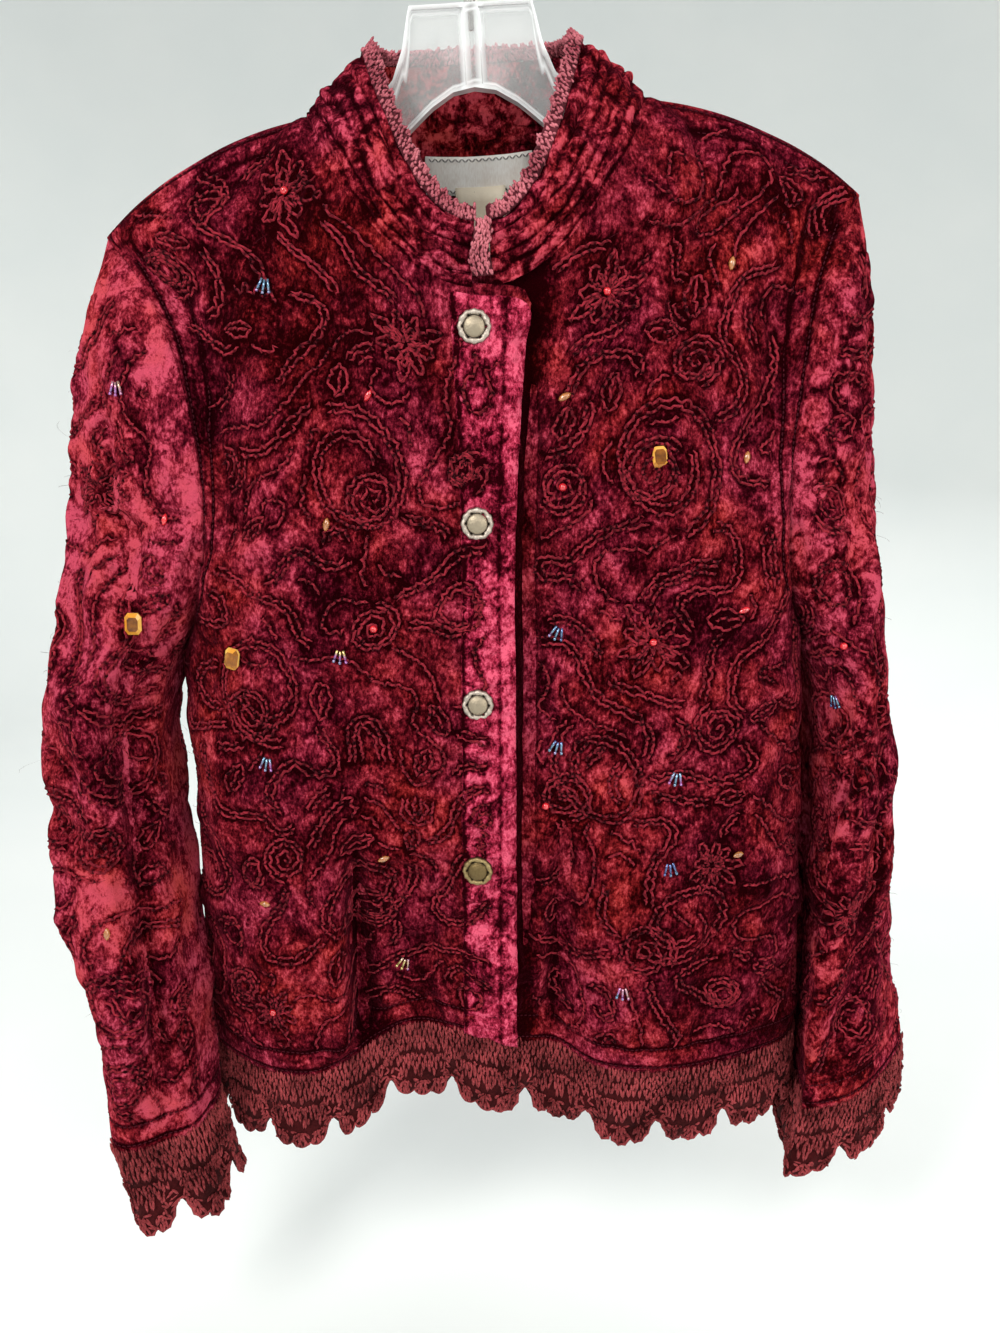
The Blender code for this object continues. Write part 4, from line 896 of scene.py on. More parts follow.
# depth and groove: painted shade in the troughs between the quilted rows, deeper in some places than in
# others.
depth = 0.65 + 0.35 * ripple(47, *flat, 0.03)
COLLAR_VELVET = velvet("collar velvet", COOL_RED, WARM_RED, 0.002, 0.70)
cloths["collar"] = {
    "outer": plain + puff[..., None] * normal,
    "normal": normal,
    "flip": True,
    "groove": np.clip(depth, 0, 1) * np.exp(-((np.sin(math.pi * quilt) / 0.40) ** 2)),
}

# Button band: a strip of the same velvet, brighter from wear, sewn on along the right front's free edge.
BAND_REACH = 0.0125
S_BAND = 2 / math.pi * math.asin(BAND_REACH / CHEST_HALF)
BAND_OUT = 0.0018
BAND_LOWER = 0.006
BAND_TOP_DROPS = (0.24, 0.30)
BAND_UNEVEN = 0.0007
BAND_ROWS = 52 * COARSE + 1
BAND_COLUMNS = 7 * COARSE + 1
grid_s, drop = panel_grid(-np.linspace(-S_LAP, S_BAND, BAND_COLUMNS), BAND_ROWS, FRONT, -1)
drop = drop + BAND_LOWER * (1 - ease(drop, *BAND_TOP_DROPS))
outer, normal = dressed_panel(FRONT, grid_s, drop, -1)
puff = BAND_OUT + BAND_UNEVEN * ripple(37, grid_s * 0.3, drop, 0.012)
cloths["front_band"] = {
    "outer": outer + puff[..., None] * normal,
    "normal": normal,
    "flip": False,
    "across": -grid_s,
    "drop": drop,
}
BAND_TONES = (
    (0.016, 0.0005, 0.0018),
    (0.085, 0.0036, 0.0110),
    (0.230, 0.0120, 0.0320),
    (0.430, 0.0320, 0.0750),
    (0.720, 0.1000, 0.1750),
)
BAND_VELVET = velvet("band velvet", BAND_TONES, BAND_TONES, 0.002, 0.50)
FOLD_LIGHTER = 0.10

# Embroidery: chain-stitched cord in dull rose, worked over fronts, back and sleeves before they are sewn up.
# Nine-petalled flowers, scrolls, spirals, vines, leaves and zigzags; each line pulls the velvet down.
CHART_CELL = 0.002
CELL_MM = 2
EDGE_MARGIN = 7
HEM_BAND = 0.020
LOWEST_STITCH = HEM_DROP - HEM_BAND + EDGE_MARGIN * CHART_CELL
FAR_OFF = 9
charts = {}


def flat_chart(name, form, dressed, across, drops, middle, keep_off):
    """A cloth laid flat: rows at even drops, columns at even lengths along the cloth from its middle line.

    length holds how far each place across lies from that line; inside marks the cells clear of the edges.
    """
    places, down = np.meshgrid(across, drops)
    steps = np.linalg.norm(np.diff(form(places, down), axis=1), axis=-1)
    length = np.pad(np.cumsum(steps, axis=1), ((0, 0), (1, 0)))
    length = length - length[:, [np.abs(across - middle).argmin()]]
    reach = np.arange(length.min(), length.max(), CHART_CELL)
    places = np.stack([np.interp(reach, row, across) for row in length])
    down = np.broadcast_to(drops[:, None], places.shape)
    inside = (reach > length[:, :1]) & (reach < length[:, -1:]) & keep_off(places, down)
    inside[[0, -1]] = inside[:, [0, -1]] = False
    for _ in range(EDGE_MARGIN):
        beside = np.roll(inside, 1, 1) & np.roll(inside, -1, 1)
        inside = inside & beside & np.roll(inside, 1, 0) & np.roll(inside, -1, 0)
    points, normals = dressed(places, down)
    found = {"points": points, "normals": normals, "inside": inside, "length": length - reach[0]}
    charts[name] = {**found, "across": across, "drops": drops}


def blend(grid, row, column):
    """Values of a grid between its cells, by how near each of the four cells round a place is."""
    row, column = np.clip(row, 0, grid.shape[0] - 1.001), np.clip(column, 0, grid.shape[1] - 1.001)
    r, c = row.astype(int), column.astype(int)
    a, b = row - r, column - c
    if grid.ndim == 3:
        a, b = a[..., None], b[..., None]
    upper = grid[r, c] * (1 - b) + grid[r, c + 1] * b
    lower = grid[r + 1, c] * (1 - b) + grid[r + 1, c + 1] * b
    return upper * (1 - a) + lower * a


def on_band(points, normals, across):
    """Points of the right front moved out where the band lies on it."""
    return points + BAND_OUT * (1 - ease(across, S_BAND - 0.01, S_BAND + 0.01))[..., None] * normals, normals


PANEL_DROPS = np.arange(NECK_POINT_DROP, HEM_DROP, CHART_CELL)
for name, face, side, lap, low, middle in (
    ("front_right", FRONT, -1, -1, -S_LAP, S_NECK + 0.02),
    ("front_left", FRONT, 1, 1, 0.055, S_NECK + 0.02),
    ("back", BACK, 1, 0, -1.0, 0.0),
):
    flat_chart(
        name,
        lambda a, d: hang(panel(face, side * a, d, lap)),
        lambda a, d: on_band(*dressed_panel(face, side * a, d, lap), a + FAR_OFF * (lap >= 0)),
        np.linspace(low, 1, 300),
        PANEL_DROPS,
        middle,
        lambda a, d: (d > edge_drop(face, side * a, lap)) & (d < LOWEST_STITCH),
    )
for side in SLEEVES:
    flat_chart(
        "sleeve_" + side,
        lambda a, d: hang(sleeve(side, a, d)),
        lambda a, d: dressed_sleeve(side, a, d),
        np.linspace(-1, 1, 300),
        np.arange(0.205, CUFF_DROP[side] - 0.002, CHART_CELL),
        0.0,
        lambda a, d: d > 0,
    )

SPOT = "x drop size turn"
FLOWERS = {
    "front_right": table(SPOT, (-0.097, 0.180, 19, 10), (-0.030, 0.262, 17, 30), (-0.122, 0.664, 14, 0)),
    "front_left": table(SPOT, (0.078, 0.234, 18, 20), (0.108, 0.426, 20, 0), (0.150, 0.565, 15, 40)),
    "back": table(
        SPOT,
        (-0.090, 0.210, 19, 0),
        (0.100, 0.300, 20, 25),
        (-0.030, 0.400, 18, 10),
        (0.070, 0.560, 19, 40),
        (-0.120, 0.600, 17, 15),
    ),
    "sleeve_right": table(SPOT, (-0.213, 0.342, 18, 15), (-0.215, 0.640, 14, 0)),
    "sleeve_left": table(SPOT, (0.223, 0.430, 17, 20), (0.236, 0.600, 15, 35)),
}
SPIRALS = {
    "front_right": table(SPOT, (-0.050, 0.345, 13, 40), (-0.052, 0.417, 12, 200), (-0.128, 0.470, 15, 90),
                         (-0.060, 0.600, 15, 300), (-0.110, 0.560, 11, 20), (-0.150, 0.330, 12, 120)),
    "front_left": table(SPOT, (0.055, 0.338, 12, 80), (0.105, 0.330, 16, 250), (0.060, 0.520, 14, 10),
                        (0.150, 0.480, 13, 180), (0.110, 0.620, 16, 320), (0.130, 0.270, 12, 0)),
    "back": table(SPOT, (0.000, 0.280, 17, 0), (-0.120, 0.340, 15, 90), (0.130, 0.430, 15, 200),
                  (0.010, 0.510, 16, 300), (-0.060, 0.640, 14, 60), (0.140, 0.640, 15, 150),
                  (0.010, 0.180, 13, 240)),
    "sleeve_right": table(SPOT, (-0.190, 0.460, 14, 30), (-0.215, 0.545, 13, 160), (-0.205, 0.690, 13, 280)),
    "sleeve_left": table(SPOT, (0.210, 0.350, 13, 60), (0.240, 0.520, 12, 200), (0.250, 0.680, 14, 320)),
}
PAIR_GAP = 3.6
SCROLLS = {
    "front_right": table(SPOT, (-0.060, 0.330, 32, 200), (-0.120, 0.455, 30, 20), (-0.065, 0.585, 28, 120)),
    "front_left": table(SPOT, (0.112, 0.325, 34, 340), (0.080, 0.505, 30, 150), (0.135, 0.600, 28, 60)),
    "back": table(SPOT, (-0.080, 0.300, 36, 30), (0.085, 0.345, 36, 210), (-0.060, 0.530, 34, 120),
                  (0.090, 0.600, 30, 300)),
    "sleeve_right": table(SPOT, (-0.205, 0.500, 24, 80), (-0.205, 0.640, 22, 260)),
    "sleeve_left": table(SPOT, (0.225, 0.480, 22, 100), (0.240, 0.640, 20, 280)),
}


def turned(along, side, turn):
    """Flat points from their parts along and beside a direction that is turned by an angle in degrees."""
    cos, sin = math.cos(math.radians(turn)), math.sin(math.radians(turn))
    return np.stack([along * cos - side * sin, along * sin + side * cos], -1)


def petal(length, width, turn):
    """A looped petal out from the flower's heart and back, pointed at its tip."""
    t = np.linspace(0, 1, 26)
    along = 1 - np.abs(2 * t - 1)
    side = np.sign(1 - 2 * t) * width * np.sin(math.pi * along**1.2)
    return turned(2.0 + length * along, side, turn)


def flower(size, turn):
    """Nine slim petals of uneven length round a bead, each second one with a shorter loop inside."""
    lines = []
    for k in range(9):
        longer = size * (1 + 0.22 * math.sin(2.3 * k + turn))
        lines.append(petal(longer, 0.17 * size, turn + 40 * k))
        if k % 2:
            lines.append(petal(0.55 * longer, 0.08 * size, turn + 40 * k))
    return lines


def spiral(size, turn):
    """A scroll of two turns that opens evenly, with a second line that follows its last turn."""
    angle = np.linspace(0, 4.4 * math.pi, 90)
    far = 1.2 + (size - 1.2) * angle / angle[-1]
    inner = turned(far * np.cos(angle), far * np.sin(angle), turn)
    late = angle > 2.2 * math.pi
    outer = turned((far[late] + 3.2) * np.cos(angle[late]), (far[late] + 3.2) * np.sin(angle[late]), turn)
    return [inner, outer]


def scroll(size, turn):
    """A wide arc of two lines side by side that opens over one turn and a quarter."""
    angle = np.linspace(0, 2.5 * math.pi, 110)
    far = size * (0.52 + 0.48 * angle / angle[-1])
    return [turned(ring * np.cos(angle), 1.25 * ring * np.sin(angle), turn) for ring in (far, far - PAIR_GAP)]


def leaf(size, turn):
    """A pointed leaf: two bowed sides and a vein."""
    t = np.linspace(0, 1, 18)
    bow = 0.26 * size * np.sin(math.pi * t) ** 0.8
    vein = turned(size * np.linspace(0.1, 0.8, 10), np.zeros(10), turn)
    return [turned(size * t, bow, turn), turned(size * t, -bow, turn), vein]


def zigzag(size, turn):
    """A row of points to and fro along a slightly bowed line."""
    t = np.linspace(0, 1, int(size / 2.6))
    fro = 2.6 * (-1.0) ** np.arange(len(t))
    return [turned(size * t, fro + 0.12 * size * np.sin(math.pi * t), turn)]


def curl(size, turn):
    """A small hook that winds once round."""
    angle = np.linspace(0, 1.6 * math.pi, 20)
    far = size * (0.25 + 0.75 * angle / angle[-1])
    return [turned(far * np.cos(angle), far * np.sin(angle), turn)]


def cells_of(chart, line):
    """Row and column of a flat line's points, in whole millimetres within the chart."""
    limit = np.array(chart["inside"].shape)[::-1] * CELL_MM - 1
    cell = np.clip(np.round(line), 0, limit).astype(int)
    return cell[..., 1], cell[..., 0]


def take(taken, line, gap):
    """Marks the cells within a gap of a line as taken."""
    near = np.stack(np.meshgrid(np.arange(-gap, gap + 1), np.arange(-gap, gap + 1)), -1).reshape(-1, 2)
    near = near[np.hypot(*near.T) <= gap]
    cells = np.clip(np.round(line)[:, None] + near, 0, np.array(taken.shape)[::-1] - 1).astype(int)
    taken[cells[..., 1], cells[..., 0]] = True


def swirl(shape, random, spacing):
    """Way of the vines: centres on a shaken grid turn left or right, draw in a little, and add up."""
    rows, columns = np.indices(shape)
    flow = np.zeros(shape + (2,)) + [0.05, 0.12]
    for y in np.arange(0, shape[0] + spacing, spacing):
        for x in np.arange(0, shape[1] + spacing, spacing):
            at_x, at_y = np.array([x, y]) + random.uniform(-0.38, 0.38, 2) * spacing
            dx, dy = columns - at_x, rows - at_y
            far = np.hypot(dx, dy) + 1
            weight = np.exp(-((1.25 * far / spacing) ** 2)) * random.choice([-1, 1])
            pull = 0.10 * np.abs(weight)
            flow += np.stack([-weight * dy - pull * dx, weight * dx - pull * dy], -1) / far[..., None]
    return unit(flow)


def carried(flow, starts, steps):
    """Paths of many points at once, moved step by step along a flow."""
    at = starts
    path = [at]
    for _ in range(steps):
        cell = np.clip(np.round(at), 0, np.array(flow.shape[1::-1]) - 1).astype(int)
        at = at + VINE_STEP * flow[cell[:, 1], cell[:, 0]]
        path.append(at)
    return np.stack(path, 1)


VINE_STEP = 1.5
VINE_REACH = 60
VINE_SEEDS = 1500
VINE_GAP = {"front_right": 8, "front_left": 8, "back": 9, "sleeve_right": 8, "sleeve_left": 8}
BUNDLES = (0.45, 0.50, 0.05)
SHORTEST_VINE = 12
SHORTEST_BUNDLE = 14
SWIRL_SPACING = 40
LEAVES = 60
LEAF_SIZES = (16, 24)
CURLS = 240
CURL_SIZES = (3, 5.5)
MOTIF_GAP = 4
FILLER_GAP = 3


def aside(line, far):
    """The line moved sideways by a distance."""
    way = unit(np.gradient(line, axis=0))
    return line + far * np.stack([-way[:, 1], way[:, 0]], -1)


def place_of(chart, x, drop):
    """Flat place, in millimetres, of the cell nearest to a point seen from in front."""
    points = chart["points"]
    off = np.hypot(points[..., 0] - x, points[..., 2] + drop) + FAR_OFF * ~chart["inside"]
    row, column = np.unravel_index(off.argmin(), off.shape)
    return CELL_MM * np.array([column, row])


def runs(line, kept):
    """The stretches of a line whose points are kept, without the shortest."""
    parts = np.split(line, np.flatnonzero(np.diff(kept)) + 1)
    return [part for part in parts[(not kept[0]) :: 2] if len(part) > 5]


def drawn(name, seed):
    """One cloth's embroidered lines, flat: motifs at their places, leaves, then vines, then small curls."""
    chart = charts[name]
    random = np.random.default_rng(seed)
    inside = np.kron(chart["inside"], np.ones((CELL_MM, CELL_MM), bool))
    taken = np.zeros(inside.shape, bool)
    lines = []

    def add(new, crowd):
        for line in new:
            cells = cells_of(chart, line)
            if not inside[cells].all() or taken[cells].mean() > crowd:
                return
        lines.extend(new)
        for line in new:
            take(taken, line, FILLER_GAP)

    for motif, rows in ((scroll, SCROLLS[name]), (flower, FLOWERS[name]), (spiral, SPIRALS[name])):
        for x, drop, size, turn in rows_of(rows, SPOT):
            centre = place_of(chart, x, drop)
            found = [centre + line for line in motif(size, turn)]
            found = [kept for line in found for kept in runs(line, inside[cells_of(chart, line)])]
            lines += found
            for line in found:
                take(taken, line, MOTIF_GAP)
    for k in range(LEAVES):
        motif = (leaf, zigzag)[k % 5 == 0]
        at = random.uniform(0, 1, 2) * np.array(inside.shape)[::-1]
        turn, size = random.uniform(0, 360), random.uniform(*LEAF_SIZES)
        add([at + line for line in motif(size, turn)], 0.0)
    flow = swirl(inside.shape, random, SWIRL_SPACING)
    starts = random.uniform(0, 1, (VINE_SEEDS, 2)) * np.array(inside.shape)[::-1]
    ahead, behind = carried(flow, starts, VINE_REACH), carried(-flow, starts, VINE_REACH)
    for path in np.concatenate([behind[:, :0:-1], ahead], axis=1):
        cells = cells_of(chart, path)
        stop = np.flatnonzero(~inside[cells] | taken[cells])
        first = stop[stop <= VINE_REACH].max(initial=-1) + 1
        last = stop[stop >= VINE_REACH].min(initial=len(path))
        if last - first < SHORTEST_VINE:
            continue
        line = path[first:last]
        bundle = 1 if len(line) < SHORTEST_BUNDLE else random.choice([1, 2, 3], p=BUNDLES)
        lines += [aside(line, PAIR_GAP * (k - (bundle - 1) / 2))[k : len(line) - k] for k in range(bundle)]
        take(taken, line, VINE_GAP[name] + round(PAIR_GAP * (bundle - 1) / 2))
    for _ in range(CURLS):
        at = random.uniform(0, 1, 2) * np.array(inside.shape)[::-1]
        add([at + line for line in curl(random.uniform(*CURL_SIZES), random.uniform(0, 360))], 0.10)
    return lines


CORD_STEP = {"front_right": 1.7, "front_left": 1.7, "back": 2.4, "sleeve_right": 1.8, "sleeve_left": 1.8}
CORD_HALF = 0.00090
CORD_HEIGHT = 0.00115
CORD_WOBBLE = 0.00035
SHAKE = 0.55


def resampled(line, step):
    """A flat line's points at even steps."""
    length = run_length(line)
    at = np.linspace(0, length[-1], max(int(length[-1] / step), 2) + 1)
    return np.stack([np.interp(at, length, line[:, 0]), np.interp(at, length, line[:, 1])], -1)


def tubes(at, out, starts, half, height, wobble):
    """Closed four-sided cords through rows of points: rings alternate in width and side, like chain stitches.

    at and out are points and normals of all cords in one row after another, starts marks each cord's first.
    """
    last = np.roll(starts, -1)
    before, after = np.roll(at, 1, 0), np.roll(at, -1, 0)
    ahead = np.where(last[:, None], at, after) - np.where(starts[:, None], at, before)
    side = unit(np.cross(out, ahead))
    odd = np.arange(len(at)) % 2
    ends = np.where(starts | last, 0.35, 1.0)
    wide = half * ends * (1.22 - 0.44 * odd)
    tall = height * ends * (1.12 - 0.24 * odd)
    middle = at + (wobble * (2 * odd - 1))[:, None] * side
    low = middle + 0.15 * tall[:, None] * out
    wide, tall = wide[:, None] * side, tall[:, None] * out
    rings = np.stack([low - wide, middle + tall, low + wide, middle - 0.5 * tall], 1)
    numbers = np.arange(rings.size // 3).reshape(-1, 4)
    a, b = numbers[:-1][~last[:-1]], numbers[1:][~last[:-1]]
    sides = np.stack([a, b, np.roll(b, -1, 1), np.roll(a, -1, 1)], -1).reshape(-1, 4)
    return rings.reshape(-1, 3), [sides, numbers[starts], numbers[last][:, ::-1]]


def cord_look(name, dark, bright):
    """Cotton cord: every second ring painted darker as shade where its twist turns under, rosy between, and
    uneven along its way.
    """
    nodes = Nodes(name)
    twist = nodes.attribute("twist")
    level = nodes.weighted((nodes.noise(40, 3), 0.4), (nodes.noise(700, 2), 0.2), (twist, 0.4))
    nodes.set(Roughness=0.9, Sheen_Weight=0.1, Sheen_Roughness=0.4, Sheen_Tint=(1, 0.2, 0.3, 1))
    nodes.set(Specular_IOR_Level=0.05)
    normal = nodes.bump(nodes.noise(1400, 2, 0.6), 0.0005, 0.6)
    return nodes.finish(nodes.ramp(level, (0.36, dark), (0.60, bright)), normal)


CORD = cord_look("rose cord", (0.0110, 0.0004, 0.0013), (0.30, 0.022, 0.036))
FURROW_REACH = 7
for seed, name in enumerate(charts):
    chart = charts[name]
    lines = [resampled(line, CORD_STEP[name]) for line in drawn(name, seed + 3)]
    flat = np.concatenate(lines)
    flat = flat + SHAKE * np.stack([ripple(seed + 50, *flat.T, 6), ripple(seed + 60, *flat.T, 6)], -1)
    starts = np.zeros(len(flat), bool)
    starts[np.cumsum([0] + [len(line) for line in lines[:-1]])] = True
    column, row = flat.T / CELL_MM
    at, out = blend(chart["points"], row, column), unit(blend(chart["normals"], row, column))
    points, faces = tubes(at, out, starts, CORD_HALF, CORD_HEIGHT, CORD_WOBBLE)
    uneven = np.random.default_rng(seed).uniform(0, 1, len(flat))
    # Every second ring darker by uneven amounts: painted shade of the cord's twist.
    twist = np.repeat((np.arange(len(flat)) % 2 + uneven) / 2, 4)
    piece(name + "_embroidery", points, faces, CORD, "velvet", twist=twist)
    away = np.full(np.array(chart["inside"].shape) * CELL_MM, float(FURROW_REACH))
    away[cells_of(chart, flat)] = 0
    for _ in range(FURROW_REACH):
        for axis in (0, 1):
            away = np.minimum(away, np.minimum(np.roll(away, 1, axis), np.roll(away, -1, axis)) + 1)
    chart["away"] = away

PUFF = 0.0012
SEAM_STRIP = 0.0008
STITCH_SINK = 0.0011
HEM_SEAMS = (0.004, 0.018)
SHOULDER_SEAMS = (0.007, 0.021)
ARMHOLE_SEAMS = (0.030, 0.110)
CUFF_SEAMS = (0.005, 0.018)
BAND_SEAMS = (0.0088, 0.0292)
ARM_FADES = ((0.198, 0.21), (0.41, 0.43))
METRES_AN_S = 0.135
PUFF_REACH = 3.2
FURROW_HALF = 2.1
FURROW_MOST = 1.2
STITCH_DEPTH = 0.0004
PANEL_SIDES = {"front_right": (FRONT, -1), "front_left": (FRONT, 1), "back": (BACK, 0)}


def sunk_lines(off, seams, per_metre=1.0):
    """1 on each row of stitches, falling away within about a millimetre, and the strip between the rows."""
    lines = sum(np.exp(-(((off - seam) * per_metre / STITCH_SINK) ** 2)) for seam in seams)
    low, high = seams
    return lines, ease(off, low, low + 0.1 * (high - low)) * (1 - ease(off, high * 0.95, high))


def seam_marks(name, cloth):
    """Where stitches sink the velvet along seams and edges, and where folded strips stand proud."""
    drop, across = cloth["drop"], cloth["across"]
    if name.startswith("sleeve"):
        side = name.split("_")[1]
        return sunk_lines(cuff_edge(side, across) - drop, CUFF_SEAMS)
    if name == "front_band":
        off = (across + S_LAP) * CHEST_HALF * math.pi / 2
        lines = sunk_lines(off, BAND_SEAMS)[0] * (0.45 + 0.45 * ease(off, *BAND_SEAMS))
        return lines, 1 - ease(off, BAND_SEAMS[0] - 0.001, BAND_SEAMS[0])
    face, lap = PANEL_SIDES[name]
    s = -across if name == "front_right" else across
    lines, strip = sunk_lines(HEM_DROP - drop, HEM_SEAMS)
    at_shoulder = (np.abs(s) > S_NECK - 0.01) & (np.abs(s) < S_TIP)
    more = sunk_lines(drop - edge_drop(face, s, lap), SHOULDER_SEAMS)
    lines, strip = lines + more[0] * at_shoulder, strip + more[1] * at_shoulder
    by_arm = ease(drop, *ARM_FADES[0]) * (1 - ease(drop, *ARM_FADES[1])) * (np.abs(s) > 0.5)
    more = sunk_lines(np.interp(drop, EDGE_DROPS, EDGE_S) - np.abs(s), ARMHOLE_SEAMS, METRES_AN_S)
    return lines + more[0] * by_arm, strip + more[1] * by_arm


def furrowed(name, cloth):
    """Moves a cloth out between embroidered lines and at sewn strips, and gives how far its colour is
    darkened, from 0 to 1.
    """
    if name == "collar":
        return cloth["groove"]
    chart = charts["front_right" if name == "front_band" else name]
    row = (cloth["drop"] - chart["drops"][0]) / CHART_CELL
    low, high = chart["across"][[0, -1]]
    column = (cloth["across"] - low) / (high - low) * (len(chart["across"]) - 1)
    reach = blend(chart["length"], row, column) / CHART_CELL
    away = blend(chart["away"], CELL_MM * row, CELL_MM * reach)
    within = blend(1.0 * chart["inside"], row, reach)
    lines, strip = seam_marks(name, cloth)
    puff = PUFF * (1 - np.exp(-((away / PUFF_REACH) ** 2))) * within + SEAM_STRIP * strip * (1 - within)
    cloth["outer"] = cloth["outer"] + (puff - STITCH_DEPTH * lines)[..., None] * cloth["normal"]
    # The band's folded strip is drawn lighter than the rest of the band.
    lightness = FOLD_LIGHTER * strip if name == "front_band" else 0
    # Darker by the cords and on stitch rows, where the pile is pressed down and shade is painted; painted
    # shade in crease troughs and beside the band's edge.
    furrow = np.exp(-((away / FURROW_HALF) ** 2)) * within + lines + cloth.get("hollow", 0)
    return np.minimum(furrow, FURROW_MOST) - lightness


LOOKS = {"front_band": BAND_VELVET, "collar": COLLAR_VELVET, **SLEEVE_VELVET}
for name, cloth in cloths.items():
    furrow = furrowed(name, cloth)
    joined = cloth.get("joined")
    points, faces = shell(cloth["outer"], cloth["normal"], CLOTH, cloth["flip"], joined, joined is not None)
    furrow = np.append(furrow.ravel(), np.zeros(len(points) - furrow.size))
    look = LOOKS.get(name, VELVET)
    made = piece(name + "_velvet", points, faces, look, "velvet", (name,), furrow=furrow)

# Lace: crochet edging in dusty maroon cotton, sewn under the hem and the cuffs, in fans of three lobes.
LACE_REPEAT = 0.043
LACE_BASE = 0.036
FAN_DROP = 0.0145
FAN_SHARE = 0.82
LOBE_DROP = 0.0055
LACE_WALL = 0.0014
LACE_SPANS = 8 * COARSE
LACE_ROWS = 4 * COARSE + 1
LACE_WAVE = 0.0013
LACE_POINTS = 400
CUFF_LACE_SCALE = {"right": 1.06, "left": 0.86}
CUFF_FLARE = {"right": 0.0, "left": 0.005}
CUFF_LEAN = {"right": 0.011, "left": -0.006}


def fan_place(repeats):
    """Place within a repeat's fan, from -1 to 1 across it."""
    return (2 * (repeats % 1) - 1) / FAN_SHARE


def scallop(repeats):
    """Drop of the lace's lower edge: round fans, one a repeat, each with three small lobes."""
    place = fan_place(repeats)
    fan = np.sqrt(np.maximum(1 - np.abs(place) ** 2.3, 0))
    lobes = np.abs(np.cos(1.5 * math.pi * np.clip(place, -1, 1))) ** 0.6
    return LACE_BASE + FAN_DROP * fan + LOBE_DROP * lobes * (np.abs(place) < 1)


def hem_line(face, lap, s):
    """Points of a panel's edge at the hem."""
    return hang(panel(face, s, HEM_DROP + 0 * s, lap))


def cuff_line(side, turn):
    """Points of a sleeve's edge at the cuff."""
    return hang(sleeve(side, turn, cuff_edge(side, turn)))


def hem_lace(face, lap, ends, repeats, part):
    """Points of the hem's lace, by repeats along it and by part down to its scalloped edge."""
    places, length = evenly(functools.partial(hem_line, face, lap), *ends, LACE_POINTS)
    many = round(length / LACE_REPEAT)
    s = np.interp(repeats, np.linspace(0, many, LACE_POINTS + 1), places)
    drop = HEM_DROP + scallop(repeats) * part
    x, y = ring(face, s, drop)
    y = y + face * LACE_WAVE * ripple(71, x, drop, 0.028) * part
    return hang(np.stack([x, y + lap_step(x, lap), -drop], -1))


def cuff_lace(side, repeats, part):
    """Points of a cuff's lace, by repeats round it and by part down to its edge; it flares and leans."""
    places, length = evenly(functools.partial(cuff_line, side), -1, 1, LACE_POINTS)
    many = round(length / LACE_REPEAT)
    turn = np.interp(repeats % many, np.linspace(0, many, LACE_POINTS + 1), places)
    drop = cuff_edge(side, turn) + CUFF_LACE_SCALE[side] * scallop(repeats) * part
    points = sleeve(side, turn, drop)
    middle = sleeve(side, np.array([0.5, -0.5]), np.full(2, CUFF_DROP[side])).mean(axis=0)
    away = unit((points - middle) * [1, 1, 0])
    flare = (CUFF_FLARE[side] + LACE_WAVE * ripple(73, points[..., 0], drop, 0.024)) * part
    points = points + flare[..., None] * away
    points[..., 0] += CUFF_LEAN[side] * part
    return hang(points)


def crochet(name, dark, bright):
    """Dusty cotton yarn: colour drifts from stitch to stitch, with a fine twisted grain."""
    nodes = Nodes(name)
    level = nodes.weighted((nodes.noise(60, 3), 0.6), (nodes.noise(700, 2), 0.4))
    nodes.set(Roughness=0.9, Sheen_Weight=0.08, Sheen_Roughness=0.5, Specular_IOR_Level=0.05)
    nodes.set(Sheen_Tint=(1, 0.4, 0.42, 1))
    twist = nodes.noise(1500, 2, 0.6)
    return nodes.finish(nodes.ramp(level, (0.35, dark), (0.62, bright)), nodes.bump(twist, 0.0005, 0.5))


LACE = crochet("maroon crochet", (0.046, 0.0032, 0.0040), (0.36, 0.057, 0.063))
LACE_SHADE = crochet("lace painted shade", (0.012, 0.0010, 0.0012), (0.050, 0.0050, 0.0060))
laces = {}
for name, face, ends, lap in (
    ("hem_lace_right", FRONT, (S_LAP, -1), -1),
    ("hem_lace_left", FRONT, (-S_LAP, 1), 1),
    ("hem_lace_back", BACK, (-1, 1), 0),
):
    length = evenly(functools.partial(hem_line, face, lap), *ends, 1)[1]
    many = round(length / LACE_REPEAT)
    outward = face * np.sign(ends[1] - ends[0])
    laces[name] = (functools.partial(hem_lace, face, lap, ends), many, outward, False)
for side in SLEEVES:
    length = evenly(functools.partial(cuff_line, side), -1, 1, 1)[1]
    many = round(length / LACE_REPEAT)
    laces["cuff_lace_" + side] = (functools.partial(cuff_lace, side), many, SLEEVES[side][0], True)

for name, (form, many, outward, closed) in laces.items():
    repeats, part = np.meshgrid(np.linspace(0, many, many * LACE_SPANS + 1), np.linspace(0, 1, LACE_ROWS))
    outer = form(repeats, part)
    normal = normals_of(outer, outward)
    if closed:
        normal[:, 0] = normal[:, -1] = unit(normal[:, 0] + normal[:, -1])
    # The sheet under the stitches is painted dark as the shade in the lace's holes and crevices.
    ground = shell(outer, normal, LACE_WALL, outward < 0, 0 if closed else None)
    made = piece(name + "_ground", *ground, LACE_SHADE, "crochet", (name,))

